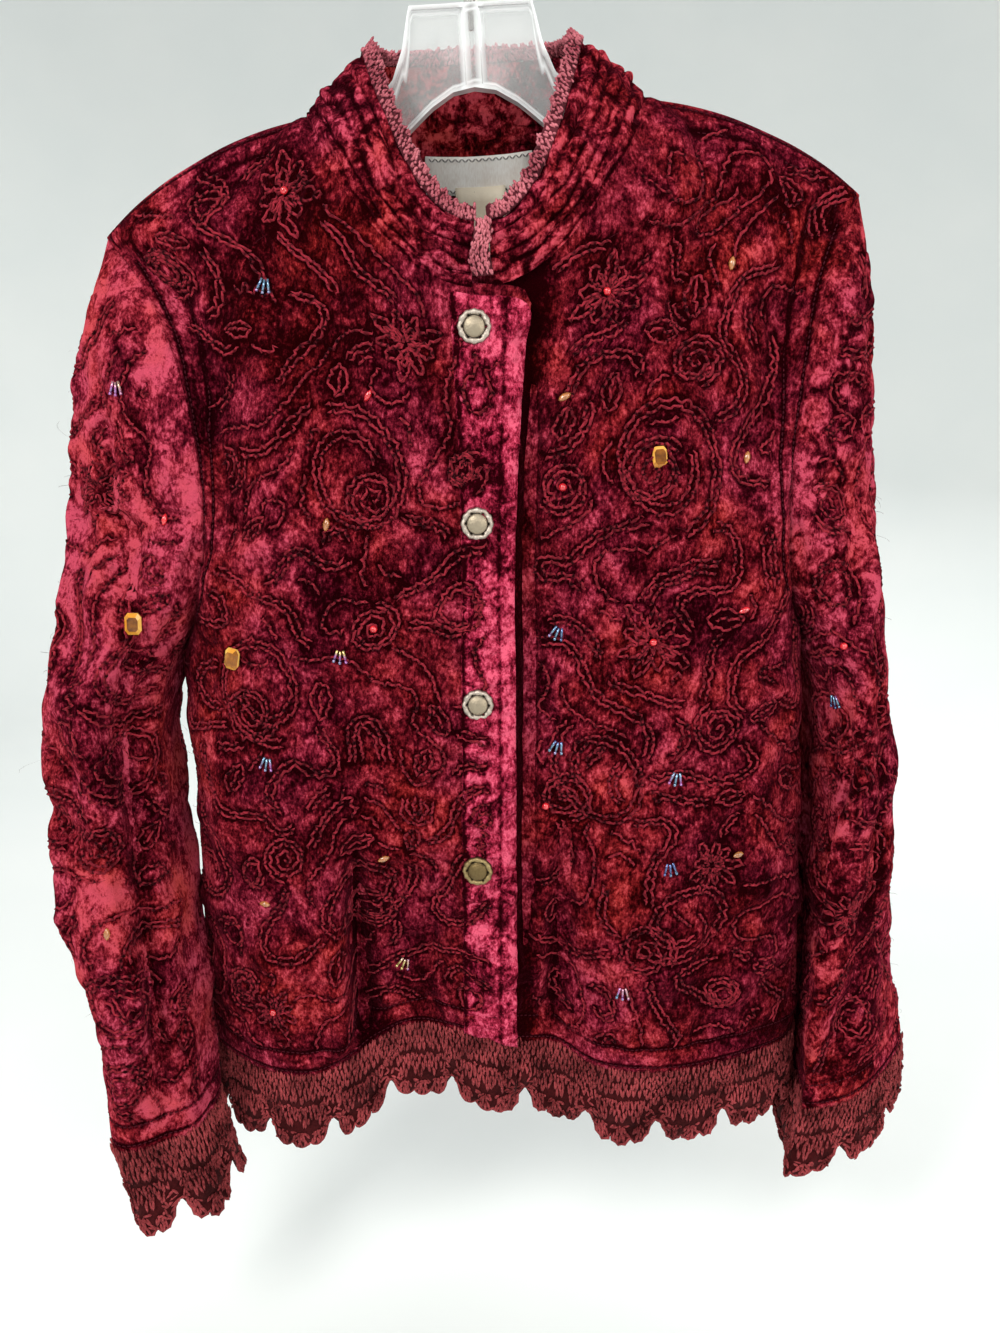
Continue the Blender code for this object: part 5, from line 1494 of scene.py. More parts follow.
# Crochet stitches: two slanting yarn strands make each stitch, and rows follow the scallops. One row skips
# every third stitch, which leaves eyelets over the ground, painted dark as shade, and arcs of short stitches
# leave slits in the fans. A thicker worked edge runs along the lobes.
STITCH_ROWS = 11
STITCHES_A_REPEAT = 13
EYELET_ROWS = (7,)
ARC_ROWS = (4, 8)
ARC_SHARE = 0.85
SHORT_STITCH = 0.5
LONG_STITCH = 1.5
LOBE_ROWS = 3
LOBE_LEAN = 0.6
YARN = 0.00080
LACE_OUT = 0.0006
UNEVEN = 0.75
STITCH_SPREAD = 0.27
NORMAL_STEP = 0.05
EDGE_POINTS = 26
EDGE_CORD = (0.0013, 0.0014, 0.0002)


def strands(start, end, out, radius):
    """Short strands, thick in the middle and pointed at both ends: two rings of four points and two tips."""
    way = end - start
    side = unit(np.cross(out, way))
    up = unit(np.cross(way, side))
    ring = radius * np.stack([-side, up, side, -up], 1)
    first, second = (start + 0.28 * way)[:, None] + ring, (start + 0.72 * way)[:, None] + ring
    points = np.concatenate([start[:, None], first, second, end[:, None]], 1)
    base = 10 * np.arange(len(start))[:, None, None]
    k, n = np.arange(4), np.roll(np.arange(4), -1)
    tips = np.concatenate([np.stack([0 * k, 1 + k, 1 + n], -1), np.stack([9 + 0 * k, 5 + n, 5 + k], -1)])
    sides = np.stack([1 + k, 5 + k, 5 + n, 1 + n], -1)
    return points.reshape(-1, 3), [(base + tips).reshape(-1, 3), (base + sides).reshape(-1, 4)]


def merged(*parts):
    """Several sets of points and faces as one."""
    points, faces, count = [], [], 0
    for some, groups in parts:
        points.append(some)
        faces += [group + count for group in groups]
        count += len(some)
    return np.concatenate(points), faces


def form_normal(form, repeats, part, outward):
    """Outward normals of a form of two parameters, from small steps each way."""
    across = form(repeats + NORMAL_STEP, part) - form(repeats - NORMAL_STEP, part)
    down = form(repeats, part + NORMAL_STEP) - form(repeats, part - NORMAL_STEP)
    return outward * unit(np.cross(across, down))


def crochet_stitches(form, many, outward, rows, a_repeat, yarn, lift, skips=(), arcs=()):
    """Stitches over a form, each of two strands that spread upwards; rows shift by half a stitch.

    In lace with arcs, a fan's stitches in those rows are short, which leaves a slit over them where the
    ground's painted shade shows, and the last rows gather towards the middle of their lobe.
    """
    row, place = np.meshgrid(np.arange(rows), np.arange(many * a_repeat))
    keep = ~(np.isin(row, skips) & (place % 3 == 0))
    row, place = row[keep], place[keep]
    repeats, part = (place + 0.25 + 0.5 * (row % 2)) / a_repeat, (row + 1.0) / rows
    foot, sides = form(repeats, part), []
    out = form_normal(form, repeats, part - 0.5 / rows, outward)
    random = np.random.default_rng(many)
    fan = np.clip(fan_place(repeats), -1, 1)
    reach = np.where(np.isin(row, arcs) & (np.abs(fan) < ARC_SHARE), SHORT_STITCH, LONG_STITCH)
    lobe = np.clip(np.round(1.5 * fan), -1, 1) / 1.5
    gather = LOBE_LEAN * (lobe - fan) * FAN_SHARE / 2 * (row >= rows - LOBE_ROWS) * (len(arcs) > 0)
    for lean in (-1, 1):
        head = form(repeats + gather + lean * STITCH_SPREAD / a_repeat, part - reach / rows)
        shift = UNEVEN * yarn * random.normal(size=foot.shape)
        sides.append(strands(foot + lift * out + 0.6 * shift, head + 1.4 * lift * out + shift, out, yarn))
    return merged(*sides)


for name, (form, many, outward, closed) in laces.items():
    size = (STITCH_ROWS, STITCHES_A_REPEAT, YARN, LACE_OUT)
    stitched = crochet_stitches(form, many, outward, *size, EYELET_ROWS, ARC_ROWS)
    edge = np.linspace(0.01, many - 0.01, many * EDGE_POINTS)
    at = form(edge, 1 + 0 * edge)
    out = form_normal(form, edge, 0.95 + 0 * edge, outward)
    starts = np.arange(len(at)) == 0
    worked = tubes(at - 0.5 * LACE_WALL * out, out, starts, *EDGE_CORD)
    piece(name + "_stitches", *merged(stitched, worked), LACE, "crochet")

# Collar edging: narrow crochet in dusty pink, worked along the collar's top edge and down over its two ends.
TRIM_HEIGHT = 0.009
TRIM_WALL = 0.0024
TRIM_GRID = (COARSE + 1, 48 * COARSE + 1)
END_GRID = (2 * COARSE + 1, COARSE + 1)
END_TRIM_S = 0.013
EDGING_STITCHES = 156
END_STITCHES = 4
TRIM = crochet("pink crochet", (0.20, 0.026, 0.042), (0.60, 0.185, 0.22))
# The edging's ground is painted dark as the shade between its stitches.
TRIM_SHADE = crochet("edging painted shade", (0.020, 0.003, 0.005), (0.10, 0.018, 0.026))


def collar_edging(way, part):
    """Edging above the collar: it goes on along the collar's own slope, with a waved upper edge."""
    round_neck = 2 * way / EDGING_STITCHES - 1
    edge = collar_at(round_neck, 1 + 0 * way)
    slope = unit(edge - collar_at(round_neck, 0.65 + 0 * way))
    rise = TRIM_HEIGHT * (1 - part) * (0.86 + 0.14 * np.cos(2 * math.pi * way * 0.38))
    return edge + slope * rise[..., None]


def end_edging(way, part):
    """Edging over the collar's ends: across by way from 0 to 1, down by part, just in front of them."""
    s = END_TRIM_S * (2 * way - 1)
    sway = 0.0016 * np.sin(2 * math.pi * part + 0.6)
    return hang(collar(FRONT, s, 1.0 - 0.9 * part) + np.stack([sway, 0 * s - 0.0022, 0 * s], -1))


def narrow_edging(way, part):
    """The same, by its stitches across."""
    return end_edging(way / END_STITCHES, part)


def ground_strip(name, node, form, high, grid, outward):
    """The thin ground that carries an edging's stitches, painted dark as shade between them, by rows and
    columns of its grid.
    """
    way, part = np.meshgrid(np.linspace(0, high, grid[1]), np.linspace(0, 1, grid[0]))
    outer = form(way, part)
    normal = normals_of(outer, outward)
    strip = shell(outer + 0.5 * TRIM_WALL * normal, normal, TRIM_WALL, outward < 0)
    made = piece(name, *strip, TRIM_SHADE, "pink_crochet", (node,))


ground_strip(
    "collar_edging_ground", "collar_trim", collar_edging, EDGING_STITCHES, TRIM_GRID, 1
)
ground_strip("end_edging_ground", "collar_end_trim", end_edging, 1, END_GRID, -1)
edging = []
for outward in (1, -1):
    edging.append(crochet_stitches(collar_edging, EDGING_STITCHES - 1, outward, 4, 1, 0.00074, 0.0012))
edge = np.linspace(0.5, EDGING_STITCHES - 0.5, 330)
at = collar_edging(edge, 0 * edge)
out = form_normal(collar_edging, edge, 0.05 + 0 * edge, 1)
edging.append(tubes(at, out, np.arange(len(at)) == 0, 0.0010, 0.0011, 0.0004))
piece("collar_edging", *merged(*edging), TRIM, "pink_crochet")
end_stitches = crochet_stitches(narrow_edging, END_STITCHES, -1, 14, 1, 0.00066, 0.0014)
piece("end_edging", *end_stitches, TRIM, "pink_crochet")

# Topstitching: rows of thread along hem, cuffs, shoulders, armholes and band, each stitch sunk at its ends.
STITCH_PITCH = 0.0031
STITCH_LENGTH = 0.0024
THREAD = 0.00042
LINE_STEP = 0.002
THREAD_LOOK = cord_look("maroon thread", (0.05, 0.006, 0.011), (0.26, 0.035, 0.055))


def panel_line(face, lap, s, drop):
    """A line on a panel's finished cloth, and the normals along it."""
    rows = np.stack([drop - LINE_STEP, drop, drop + LINE_STEP])
    points, normals = dressed_panel(face, np.broadcast_to(s, rows.shape), rows, lap)
    return points[1], normals[1]


def sleeve_line(side, turn, drop):
    """A line on a sleeve's finished cloth, and the normals along it."""
    rows = np.stack([drop - LINE_STEP, drop, drop + LINE_STEP])
    points, normals = dressed_sleeve(side, np.broadcast_to(turn, rows.shape), rows)
    return points[1], normals[1]


def thread(line, lift=0.0004):
    """Stitches at an even pitch along a line."""
    at, out = line
    length = run_length(at)
    places = np.arange(0, length[-1] - STITCH_LENGTH, STITCH_PITCH)

    def read(values, where):
        return np.stack([np.interp(where, length, column) for column in values.T], -1)

    up = unit(read(out, places))
    return strands(read(at, places) + lift * up, read(at, places + STITCH_LENGTH) + lift * up, up, THREAD)


sewn = []
for face, lap, sign, low in (
    (FRONT, -1, -1, -S_LAP),
    (FRONT, 1, 1, S_LAP),
    (BACK, 0, 1, 0),
    (BACK, 0, -1, 0),
):
    along_hem = sign * np.linspace(low, 0.99, 300)
    shoulder = sign * np.linspace(S_NECK, S_TIP - 0.01, 120)
    arm_drop = np.linspace(0.205, 0.425, 200)
    arm_s = np.interp(arm_drop, EDGE_DROPS, EDGE_S)
    for hem_off, shoulder_off in zip(HEM_SEAMS, SHOULDER_SEAMS):
        sewn.append(thread(panel_line(face, lap, along_hem, HEM_DROP - hem_off + 0 * along_hem)))
        sewn.append(thread(panel_line(face, lap, shoulder, edge_drop(face, shoulder, lap) + shoulder_off)))
    for off in ARMHOLE_SEAMS:
        sewn.append(thread(panel_line(face, lap, sign * (arm_s - off), arm_drop)))
for side in SLEEVES:
    turn = np.linspace(-1, 1, 300)
    for off in CUFF_SEAMS:
        sewn.append(thread(sleeve_line(side, turn, cuff_edge(side, turn) - off)))
band_drop = np.linspace(0.246, HEM_DROP - 0.003, 300)
for off in BAND_SEAMS:
    s = S_LAP - off / (CHEST_HALF * math.pi / 2)
    at, out = panel_line(FRONT, -1, s + 0 * band_drop, band_drop)
    sewn.append(thread((at + BAND_OUT * out, out), 0.0008))
piece("topstitching", *merged(*sewn), THREAD_LOOK, "velvet")

# Buttons: four of cast metal in antique finish, a brassy dome inside a rim of six twisted leaves with holes.
BUTTON_DROPS = (0.2535, 0.3575, 0.4615, 0.5703)
BUTTON_S = -0.010
BUTTON_RADIUS = 0.009
BUTTON_OUT = 0.0006
DOME = 0.62
DOME_FOOT, DOME_RISE = 0.0034, 0.0018
RIM_FOOT, LEAF_RISE = 0.0016, 0.0024
HOLE_DEPTH = 0.0026
GROOVE_DEPTH = 0.0006


def antique(name, dome, rim):
    """Cast metal: black in the hollows, rubbed bright where it stands proud; dome and rim differ."""
    nodes = Nodes(name)
    lightness = nodes.math("ADD", nodes.attribute("proud"), nodes.math("MULTIPLY", nodes.noise(700, 4, 0.65), 0.6))
    tones = []
    for top in (dome, rim):
        dull = tuple(0.4 * c for c in top)
        tones.append(nodes.ramp(lightness, (0.42, (0.020, 0.012, 0.009)), (0.78, dull), (1.0, top)))
    nodes.set(Metallic=0.75, Specular_IOR_Level=0.4)
    rough = nodes.math("ADD", nodes.weighted((nodes.noise(500, 2), 0.3)), 0.30)
    normal = nodes.bump(nodes.noise(900, 3), 0.0006, 0.5)
    return nodes.finish(nodes.mix(nodes.attribute("rim"), *tones), normal, rough)


PALE = antique("antique metal", (0.35, 0.29, 0.21), (0.47, 0.40, 0.34))
BRONZE = antique("antique bronze", (0.16, 0.11, 0.045), (0.30, 0.22, 0.10))


def upright(out):
    """Directions across and up on a cloth, from its normal."""
    up = unit(np.array([0, 0, 1.0]) - out[2] * out)
    return np.cross(up, out), up


def button_height(far, turn):
    """Height of a button's face: a dome, a groove with six holes, and six leaves that overlap on the rim."""
    dome = DOME_FOOT + DOME_RISE * (1 - (far / DOME) ** 2)
    leaf = (turn * 3 / math.pi + 0.35 * far) % 1
    rise = 0.45 + 0.55 * np.sin(math.pi * leaf) ** 0.7 - 0.25 * np.exp(-(((leaf - 0.55) / 0.10) ** 2))
    rim = RIM_FOOT + LEAF_RISE * rise * np.sqrt(np.maximum(1 - ((far - 0.82) / 0.19) ** 2, 0))
    hole = np.exp(-(((far - 0.72) / 0.06) ** 2) - (np.sin(3 * turn) / 0.34) ** 2)
    groove = np.exp(-(((far - DOME - 0.02) / 0.03) ** 2))
    return np.where(far < DOME, dome, rim) - HOLE_DEPTH * hole - GROOVE_DEPTH * groove


far, turn = np.meshgrid(np.concatenate([np.linspace(0, 1, 26), [1.0, 0.86]]), np.linspace(0, 2 * math.pi, 73))
tall = button_height(far, turn)
tall[:, -2], tall[:, -1] = 0.0010, 0.0
proud = ease(tall, 0.0008, 0.0040)
rim_share = ease(far, DOME - 0.02, DOME + 0.04)
edge_wave = 1 + 0.022 * ease(far, 0.75, 1) * np.cos(12 * turn)
marks = {"proud": proud.ravel(), "rim": rim_share.ravel()}
numbers = np.arange(far.size).reshape(far.shape)
numbers[-1] = numbers[0]
numbers[:, 0] = numbers[0, 0]
faces = [quads(numbers), numbers[:-1, -1][None]]
button_places = np.array([BUTTON_S - 0.01, BUTTON_S, BUTTON_S + 0.01])
for count, drop in enumerate(BUTTON_DROPS, 1):
    at, out = [found[1] for found in panel_line(FRONT, -1, button_places, np.full(3, drop))]
    side, up = upright(out)
    spoke = np.cos(turn)[..., None] * side + np.sin(turn)[..., None] * up
    spread = BUTTON_RADIUS * (far * edge_wave)[..., None] * spoke
    points = at + (BAND_OUT + BUTTON_OUT + tall)[..., None] * out + spread
    metal = BRONZE if count == len(BUTTON_DROPS) else PALE
    node = f"button_{count}"
    piece(node + "_face", points.reshape(-1, 3), faces, metal, "antique_metal", (node,), **marks)

# Beads: red glass rounds and navettes, topaz navettes, and fans of three bugle beads, each with a seed bead.
BEAD = "x drop turn"
BEADS = {
    "ruby": table(BEAD, (-0.097, 0.180, 0), (0.078, 0.234, 0), (0.055, 0.338, 0), (-0.052, 0.417, 0),
                  (0.108, 0.426, 0), (0.223, 0.430, 0), (-0.121, 0.665, 0), (0.047, 0.526, 0),
                  (0.235, 0.543, 0)),
    "ruby_navette": table(BEAD, (-0.052, 0.290, 60), (0.160, 0.407, 20), (-0.172, 0.358, 80)),
    "topaz_navette": table(BEAD, (0.149, 0.219, 80), (0.160, 0.322, 75), (0.055, 0.290, 30),
                           (-0.076, 0.358, 80), (-0.051, 0.562, 20), (-0.124, 0.590, 0),
                           (0.165, 0.558, 10), (-0.209, 0.594, 85)),
    "bugle": table(BEAD, (-0.110, 0.229, 80), (-0.197, 0.284, 90), (-0.072, 0.434, 85), (0.054, 0.421, 70),
                   (0.055, 0.488, 75), (0.124, 0.508, 80), (0.123, 0.564, 95), (0.224, 0.467, 100),
                   (-0.040, 0.637, 70), (0.096, 0.646, 90), (-0.117, 0.500, 80)),
}
GEM_FORMS = {
    "ruby": (0.0023, 0.0023, 0.0026, 1.0),
    "ruby_navette": (0.0037, 0.0018, 0.0022, 1.5),
    "topaz_navette": (0.0039, 0.0020, 0.0022, 1.5),
}
GEM_RINGS = np.array([0.86, 1.0, 0.78, 0.42])
GEM_SIDES = 12
GEM_OUT = 0.0009
ROD_SIDES = 6
BUGLE_FAN = (-16, 0, 16)
BUGLE_GAP = 0.0026
BUGLE_OUT = 0.0018
BUGLE_HALF, BUGLE_RADIUS = 0.0030, 0.00075
SEED_AT, SEED_HALF, SEED_RADIUS = 0.0040, 0.0007, 0.0009


def on_cloth(x, drop):
    """Point and normal of whichever chart lies nearest to a place seen from in front."""
    best = None
    for name in ("front_right", "front_left", "sleeve_right", "sleeve_left"):
        chart = charts[name]
        seen = chart["inside"] & (chart["normals"][..., 1] < 0)
        off = np.hypot(chart["points"][..., 0] - x, chart["points"][..., 2] + drop) + FAR_OFF * ~seen
        if best is None or off.min() < best[0]:
            cell = np.unravel_index(off.argmin(), off.shape)
            best = (off.min(), chart["points"][cell], chart["normals"][cell])
    return best[1], best[2]


def gem(long, wide, tall, point, turn, x, drop):
    """A cut bead sewn flat: stacked outlines, pointed at both ends by a power, rising to a small table."""
    at, out = on_cloth(x, drop)
    side, up = upright(out)
    level, angle = np.meshgrid(np.linspace(0, 1, len(GEM_RINGS)), round_angles(GEM_SIDES), indexing="ij")
    sin = np.sin(angle)
    flat = turned(long * np.cos(angle), wide * np.sign(sin) * np.abs(sin) ** point, turn)
    flat = flat * GEM_RINGS[:, None, None]
    rise = (GEM_OUT + tall * level)[..., None] * out
    return loft(at + flat[..., :1] * side + flat[..., 1:] * up + rise)


def gems(kind):
    """All beads of one kind, each at its place."""
    return [gem(*GEM_FORMS[kind], turn, x, drop) for x, drop, turn in rows_of(BEADS[kind], BEAD)]


def rod(at, way, out, half, radius):
    """A short tube bead with flat ends."""
    side = np.cross(out, way)
    angle = round_angles(ROD_SIDES)
    ring = radius * (np.cos(angle)[:, None] * side + np.sin(angle)[:, None] * out)
    return loft(np.stack([at - half * way + ring, at + half * way + ring]))


def glass(name, colour, rough):
    """Cut glass, its colour a little uneven from facet to facet."""
    nodes = Nodes(name)
    nodes.set(Roughness=rough, IOR=1.55, Transmission_Weight=0.25, Coat_Weight=1.0, Coat_Roughness=0.05)
    pale = tuple(min(1.0, 1.7 * c + 0.01) for c in colour)
    return nodes.finish(nodes.ramp(nodes.noise(420, 2), (0.35, colour), (0.65, pale)))


RUBY = glass("red glass", (0.55, 0.012, 0.020), 0.08)
TOPAZ = glass("topaz glass", (0.36, 0.13, 0.035), 0.10)
bugle = Nodes("bugle glass")
bugle.set(Metallic=0.6, Roughness=0.14, Coat_Weight=1.0, Coat_Roughness=0.05)
hues = (
    (0.36, (0.05, 0.09, 0.26)),
    (0.46, (0.16, 0.30, 0.42)),
    (0.54, (0.42, 0.10, 0.40)),
    (0.64, (0.55, 0.40, 0.14)),
)
BUGLE = bugle.finish(bugle.ramp(bugle.noise(55, 2), *hues))
piece("red_beads", *merged(*gems("ruby"), *gems("ruby_navette")), RUBY, "amber_stone")
piece("topaz_beads", *merged(*gems("topaz_navette")), TOPAZ, "amber_stone")
bugles = []
for x, drop, turn in rows_of(BEADS["bugle"], BEAD):
    at, out = on_cloth(x, drop)
    side, up = upright(out)
    for k, fan in enumerate(BUGLE_FAN):
        cos, sin = math.cos(math.radians(turn + fan)), math.sin(math.radians(turn + fan))
        way = cos * side + sin * up
        middle = at + BUGLE_GAP * (k - 1) * (sin * side - cos * up) + BUGLE_OUT * out
        bugles.append(rod(middle, way, out, BUGLE_HALF, BUGLE_RADIUS))
        bugles.append(rod(middle - SEED_AT * way, way, out, SEED_HALF, SEED_RADIUS))
piece("bugle_beads", *merged(*bugles), BUGLE, "amber_stone")
amber = Nodes("step-cut amber")
# Colour by which way each facet faces, with uneven tone: painted light of the cut, dark on the forward table,
# golden on the slopes.
facing = amber.add("SeparateXYZ", {0: amber.add("NewGeometry").outputs["True Normal"]}).outputs["Y"]
flash = amber.math("ADD", facing, amber.math("MULTIPLY", amber.noise(260, 2), 0.25))
amber.set(Roughness=0.10, IOR=1.55, Coat_Weight=0.15, Coat_Roughness=0.06, Specular_IOR_Level=0.3)
facet_light_tones = amber.ramp(
    amber.math("ADD", flash, 1.0),
    (0.08, (0.070, 0.020, 0.003)),
    (0.20, (0.26, 0.085, 0.008)),
    (0.34, (0.62, 0.25, 0.022)),
    (0.60, (0.90, 0.52, 0.12)),
)
AMBER = amber.finish(facet_light_tones)
for name in ("stone_sleeve", "stone_right", "stone_left"):
    bpy.data.objects[name].data.materials[0] = AMBER

# Label and tag: bare woven tape inside the back neck, the label edged with zigzag thread, the tag under it.
TAPE_WALL = 0.0008
S_LABEL = 0.075
LABEL_IN = 0.0026
TAG_IN = LABEL_IN + TAPE_WALL + 0.0006
TAG_HALF_S = 0.034
weave = Nodes("woven tape")
weave.set(Roughness=0.85, Sheen_Weight=0.15)
threads = weave.noise(1500, 1, 0.4, stretch=(1, 1, 0.25))
yellowed = weave.weighted((weave.noise(60, 3), 0.6), (threads, 0.4))
cream = weave.ramp(yellowed, (0.35, (0.80, 0.73, 0.66)), (0.65, (0.97, 0.94, 0.89)))
TAPE = weave.finish(cream, weave.bump(threads, 0.0003, 0.6))
satin = Nodes("satin tape")
satin.set(Roughness=0.6, Sheen_Weight=0.1)
satin_threads = satin.noise(1800, 1, 0.4, stretch=(0.25, 1, 1))
buff = satin.ramp(satin.noise(70, 3), (0.35, (0.66, 0.55, 0.40)), (0.65, (0.85, 0.75, 0.58)))
SATIN = satin.finish(buff, satin.bump(satin_threads, 0.0003, 0.5))


def tape(name, node, s_half, drops, inside, curl, look):
    """A woven strip inside the back neck; its lower edge curls away from the cloth a little."""
    s, part = np.meshgrid(np.linspace(-s_half, s_half, 8 * COARSE + 1), np.linspace(0, 1, 5 * COARSE + 1))
    top = edge_drop(BACK, s, 0)
    drop = top + drops[0] + (drops[1] - drops[0]) * part
    plain = hang(panel(BACK, s, drop, 0))
    out = normals_of(plain, 1)
    sink = inside + curl * part**2 + 0.0005 * np.sin(9 * s / s_half + 3 * part)
    outer = plain - sink[..., None] * out
    made = piece(name, *shell(outer, out, TAPE_WALL, False), look, "woven_tape", (node,))
    return outer - TAPE_WALL * out, out


label_face, label_out = tape(
    "label_tape", "neck_label", S_LABEL, (0.0035, 0.0248), LABEL_IN, 0.0, TAPE
)
tape("tag_tape", "size_tag", TAG_HALF_S, (0.0205, 0.0610), TAG_IN, 0.003, SATIN)
DARK_THREAD = cord_look("dark thread", (0.02, 0.015, 0.015), (0.10, 0.09, 0.09))
label_stitches = []
for row in (2, -3):
    edge, out = label_face[row, 1:-1], -label_out[row, 1:-1]
    lean = 0.0011 * (-1.0) ** np.arange(len(edge))[:, None] * np.array([0, 0, 1.0])
    zig = edge + lean + 0.0003 * out
    label_stitches.append(strands(zig[:-1], zig[1:], out[:-1], 0.00028))
piece("label_stitches", *merged(*label_stitches), DARK_THREAD, "woven_tape")

# Hanger: moulded in one piece of clear plastic, an I section along both arms, with a rib for the hook's stem.
HANGER_UNDER_RIDGE = 0.0047
FLANGE_HALF = 0.004
FLANGE = 0.0022
WEB_HALF = 0.0012
RIB_HALF = 0.0042
HANGER_TOP = 0.0795
UPPER = table(
    "x drop",
    (0.0000, HANGER_TOP),
    (0.0340, HANGER_TOP),
    (0.0356, 0.0860),
    (0.0390, 0.1005),
    (0.0455, 0.1157),
    (0.0550, 0.1250),
    (0.0750, 0.1318),
)
LOWER = table(
    "x drop",
    (0.000, 0.1215),
    (0.012, 0.1235),
    (0.025, 0.1310),
    (0.043, 0.1460),
    (0.070, 0.1600),
    (0.095, 0.1680),
    (0.130, 0.1760),
    (0.176, 0.1900),
)
RIB_END = 0.0045
ARM_END = 0.172
ARM_TIP = 0.176
TIP_WEB = 0.0028
TIP_HALF = 0.003
ARM_SLOPE = 0.4
FLANGE_MOST = 0.012
SLOPE_STEP = 0.001


def hanger_top(x):
    """Drop of the hanger's upper edge: the neck's own line, then the shoulder's, a little under the cloth."""
    arm = SHOULDER["drop"] + HANGER_UNDER_RIDGE
    return np.interp(x, np.append(UPPER["x"], SHOULDER["x"]), np.append(UPPER["drop"], arm))


neck = np.concatenate([[0, 0.0042, 0.0050], np.linspace(0.008, 0.032, 7), np.linspace(0.0338, 0.0465, 16)])
half_stations = np.concatenate([neck, np.linspace(0.05, ARM_END, 30), [ARM_TIP]])
x = np.concatenate([-half_stations[:0:-1], half_stations])
far = np.abs(x)
upper, lower = hanger_top(far), np.interp(far, LOWER["x"], LOWER["drop"])
steep = np.abs(hanger_top(far + SLOPE_STEP) - hanger_top(np.maximum(far - SLOPE_STEP, 0))) / (2 * SLOPE_STEP)
flange = np.minimum(FLANGE * np.hypot(1, np.where(far < NECK_HALF, steep, ARM_SLOPE)), FLANGE_MOST)
web = np.where(far < RIB_END, RIB_HALF, np.where(far > ARM_END, TIP_WEB, WEB_HALF))
wide = np.where(far > ARM_END, TIP_HALF, np.maximum(FLANGE_HALF, web))
# The third value of each point is how far its rim is painted as a white highlight line.
half_loop = [(wide, upper, 1.0), (wide, upper + flange, 0.2), (web, upper + flange, 0.2)]
half_loop += [(web, upper + 1.6 * flange, 0.9), (web, upper + 2.2 * flange, 0.0)]
half_loop += [(web, lower - 2.2 * FLANGE, 0.0), (web, lower - 1.6 * FLANGE, 0.9)]
half_loop += [(web, lower - FLANGE, 0.2), (wide, lower - FLANGE, 0.2), (wide, lower, 1.0)]
loop = half_loop + [(-y, drop, edge) for y, drop, edge in reversed(half_loop)]
sections = hang(np.stack([np.stack([x, RIDGE_Y + y, -drop], -1) for y, drop, _ in loop], 1))
rib_highlight = 0.8 * ((far > 0.004) & (far < RIB_END + 0.001))
edges = np.maximum(np.array([edge for _, _, edge in loop])[None, :], rib_highlight[:, None])
clear = Nodes("clear plastic")
haze = clear.noise(40, 3)
clear.set(IOR=1.49, Transmission_Weight=0.2, Coat_Weight=0.6, Coat_Roughness=0.12, Specular_IOR_Level=0.6)
# The rims and the rib's sides are drawn whiter and more opaque: painted highlight lines.
edge = clear.attribute("edge")
opaque = clear.math("ADD", clear.weighted((edge, 0.55), (haze, 0.25)), 0.14)
clear.tree.links.new(opaque, clear.shader.inputs["Alpha"])
clear_rough = clear.math("ADD", clear.weighted((haze, 0.2)), 0.08)
cloudy = clear.ramp(haze, (0.3, (0.70, 0.70, 0.70)), (0.7, (0.82, 0.81, 0.81)))
CLEAR = clear.finish(clear.mix(edge, cloudy, (0.93, 0.95, 0.96, 1)), None, clear_rough)
made = piece("clear_hanger", *loft(sections), CLEAR, "clear_plastic", ("hanger",), edge=edges.ravel())
made.data.polygons.foreach_set("use_smooth", np.zeros(len(made.data.polygons), bool))

# Hook: one bright drawn wire, its stem moulded into the hanger's rib, bent aside and round over the rod.
WIRE = 0.0018
FERRULE = 0.0034
FERRULE_HEIGHT = 0.005
HOOK_INNER = 0.022
HOOK_START, HOOK_END = math.radians(-38), math.radians(205)
STEM_TOP = 0.062
STEM_FOOT = 0.092
FERRULE_STEP = 0.0006
BEND_PULL = 0.011
HOOK_SIDES = 14
TIP_STEP = 0.0010
middle = HOOK_INNER + WIRE
arc_turn = np.linspace(HOOK_START, HOOK_END, 48)
arc = np.stack([middle * np.cos(arc_turn), -HOOK_INNER + middle * np.sin(arc_turn)], -1)
start, end = np.array([0, -STEM_TOP]), arc[0]
leave = start + [0, BEND_PULL]
arrive = end - BEND_PULL * np.array([-math.sin(HOOK_START), math.cos(HOOK_START)])
t = np.linspace(0, 1, 13)[:-1, None]
bend = (1 - t) ** 3 * start + 3 * (1 - t) ** 2 * t * leave + 3 * (1 - t) * t**2 * arrive + t**3 * end
low, high = -HANGER_TOP + 0.0003, -HANGER_TOP + 0.0003 + FERRULE_HEIGHT
stem = np.array([(0, -STEM_FOOT), (0, low), (0, low), (0, high), (0, high + FERRULE_STEP)])
last = arc[-1] - arc[-2]
tip = arc[-1:] + TIP_STEP * last / np.linalg.norm(last)
path = np.concatenate([stem, bend, arc, tip])
radius = np.full(len(path), WIRE)
radius[[2, 3]] = FERRULE
radius[-1] = 0.55 * WIRE
way = unit(np.gradient(path, axis=0))
way[:6] = [0, 1]
angle = round_angles(HOOK_SIDES)
ring_out, ring_side = radius[:, None] * np.cos(angle), radius[:, None] * np.sin(angle)
wire_x, wire_z = path[:, :1] + ring_out * way[:, 1:], path[:, 1:] - ring_out * way[:, :1]
wire = hang(np.stack([wire_x, RIDGE_Y + ring_side, wire_z], -1))
bright = Nodes("bright wire")
bright.set(Metallic=1.0)
drawn_lines = bright.noise(500, 2, stretch=(1, 1, 0.1))
bright_rough = bright.math("ADD", bright.weighted((drawn_lines, 0.25)), 0.15)
steel = bright.ramp(drawn_lines, (0.3, (0.48, 0.47, 0.45)), (0.7, (0.70, 0.69, 0.67)))
WIRE_LOOK = bright.finish(steel, None, bright_rough)
piece("wire_hook", *loft(wire, flip=True), WIRE_LOOK, "hook_wire", ("hook",))

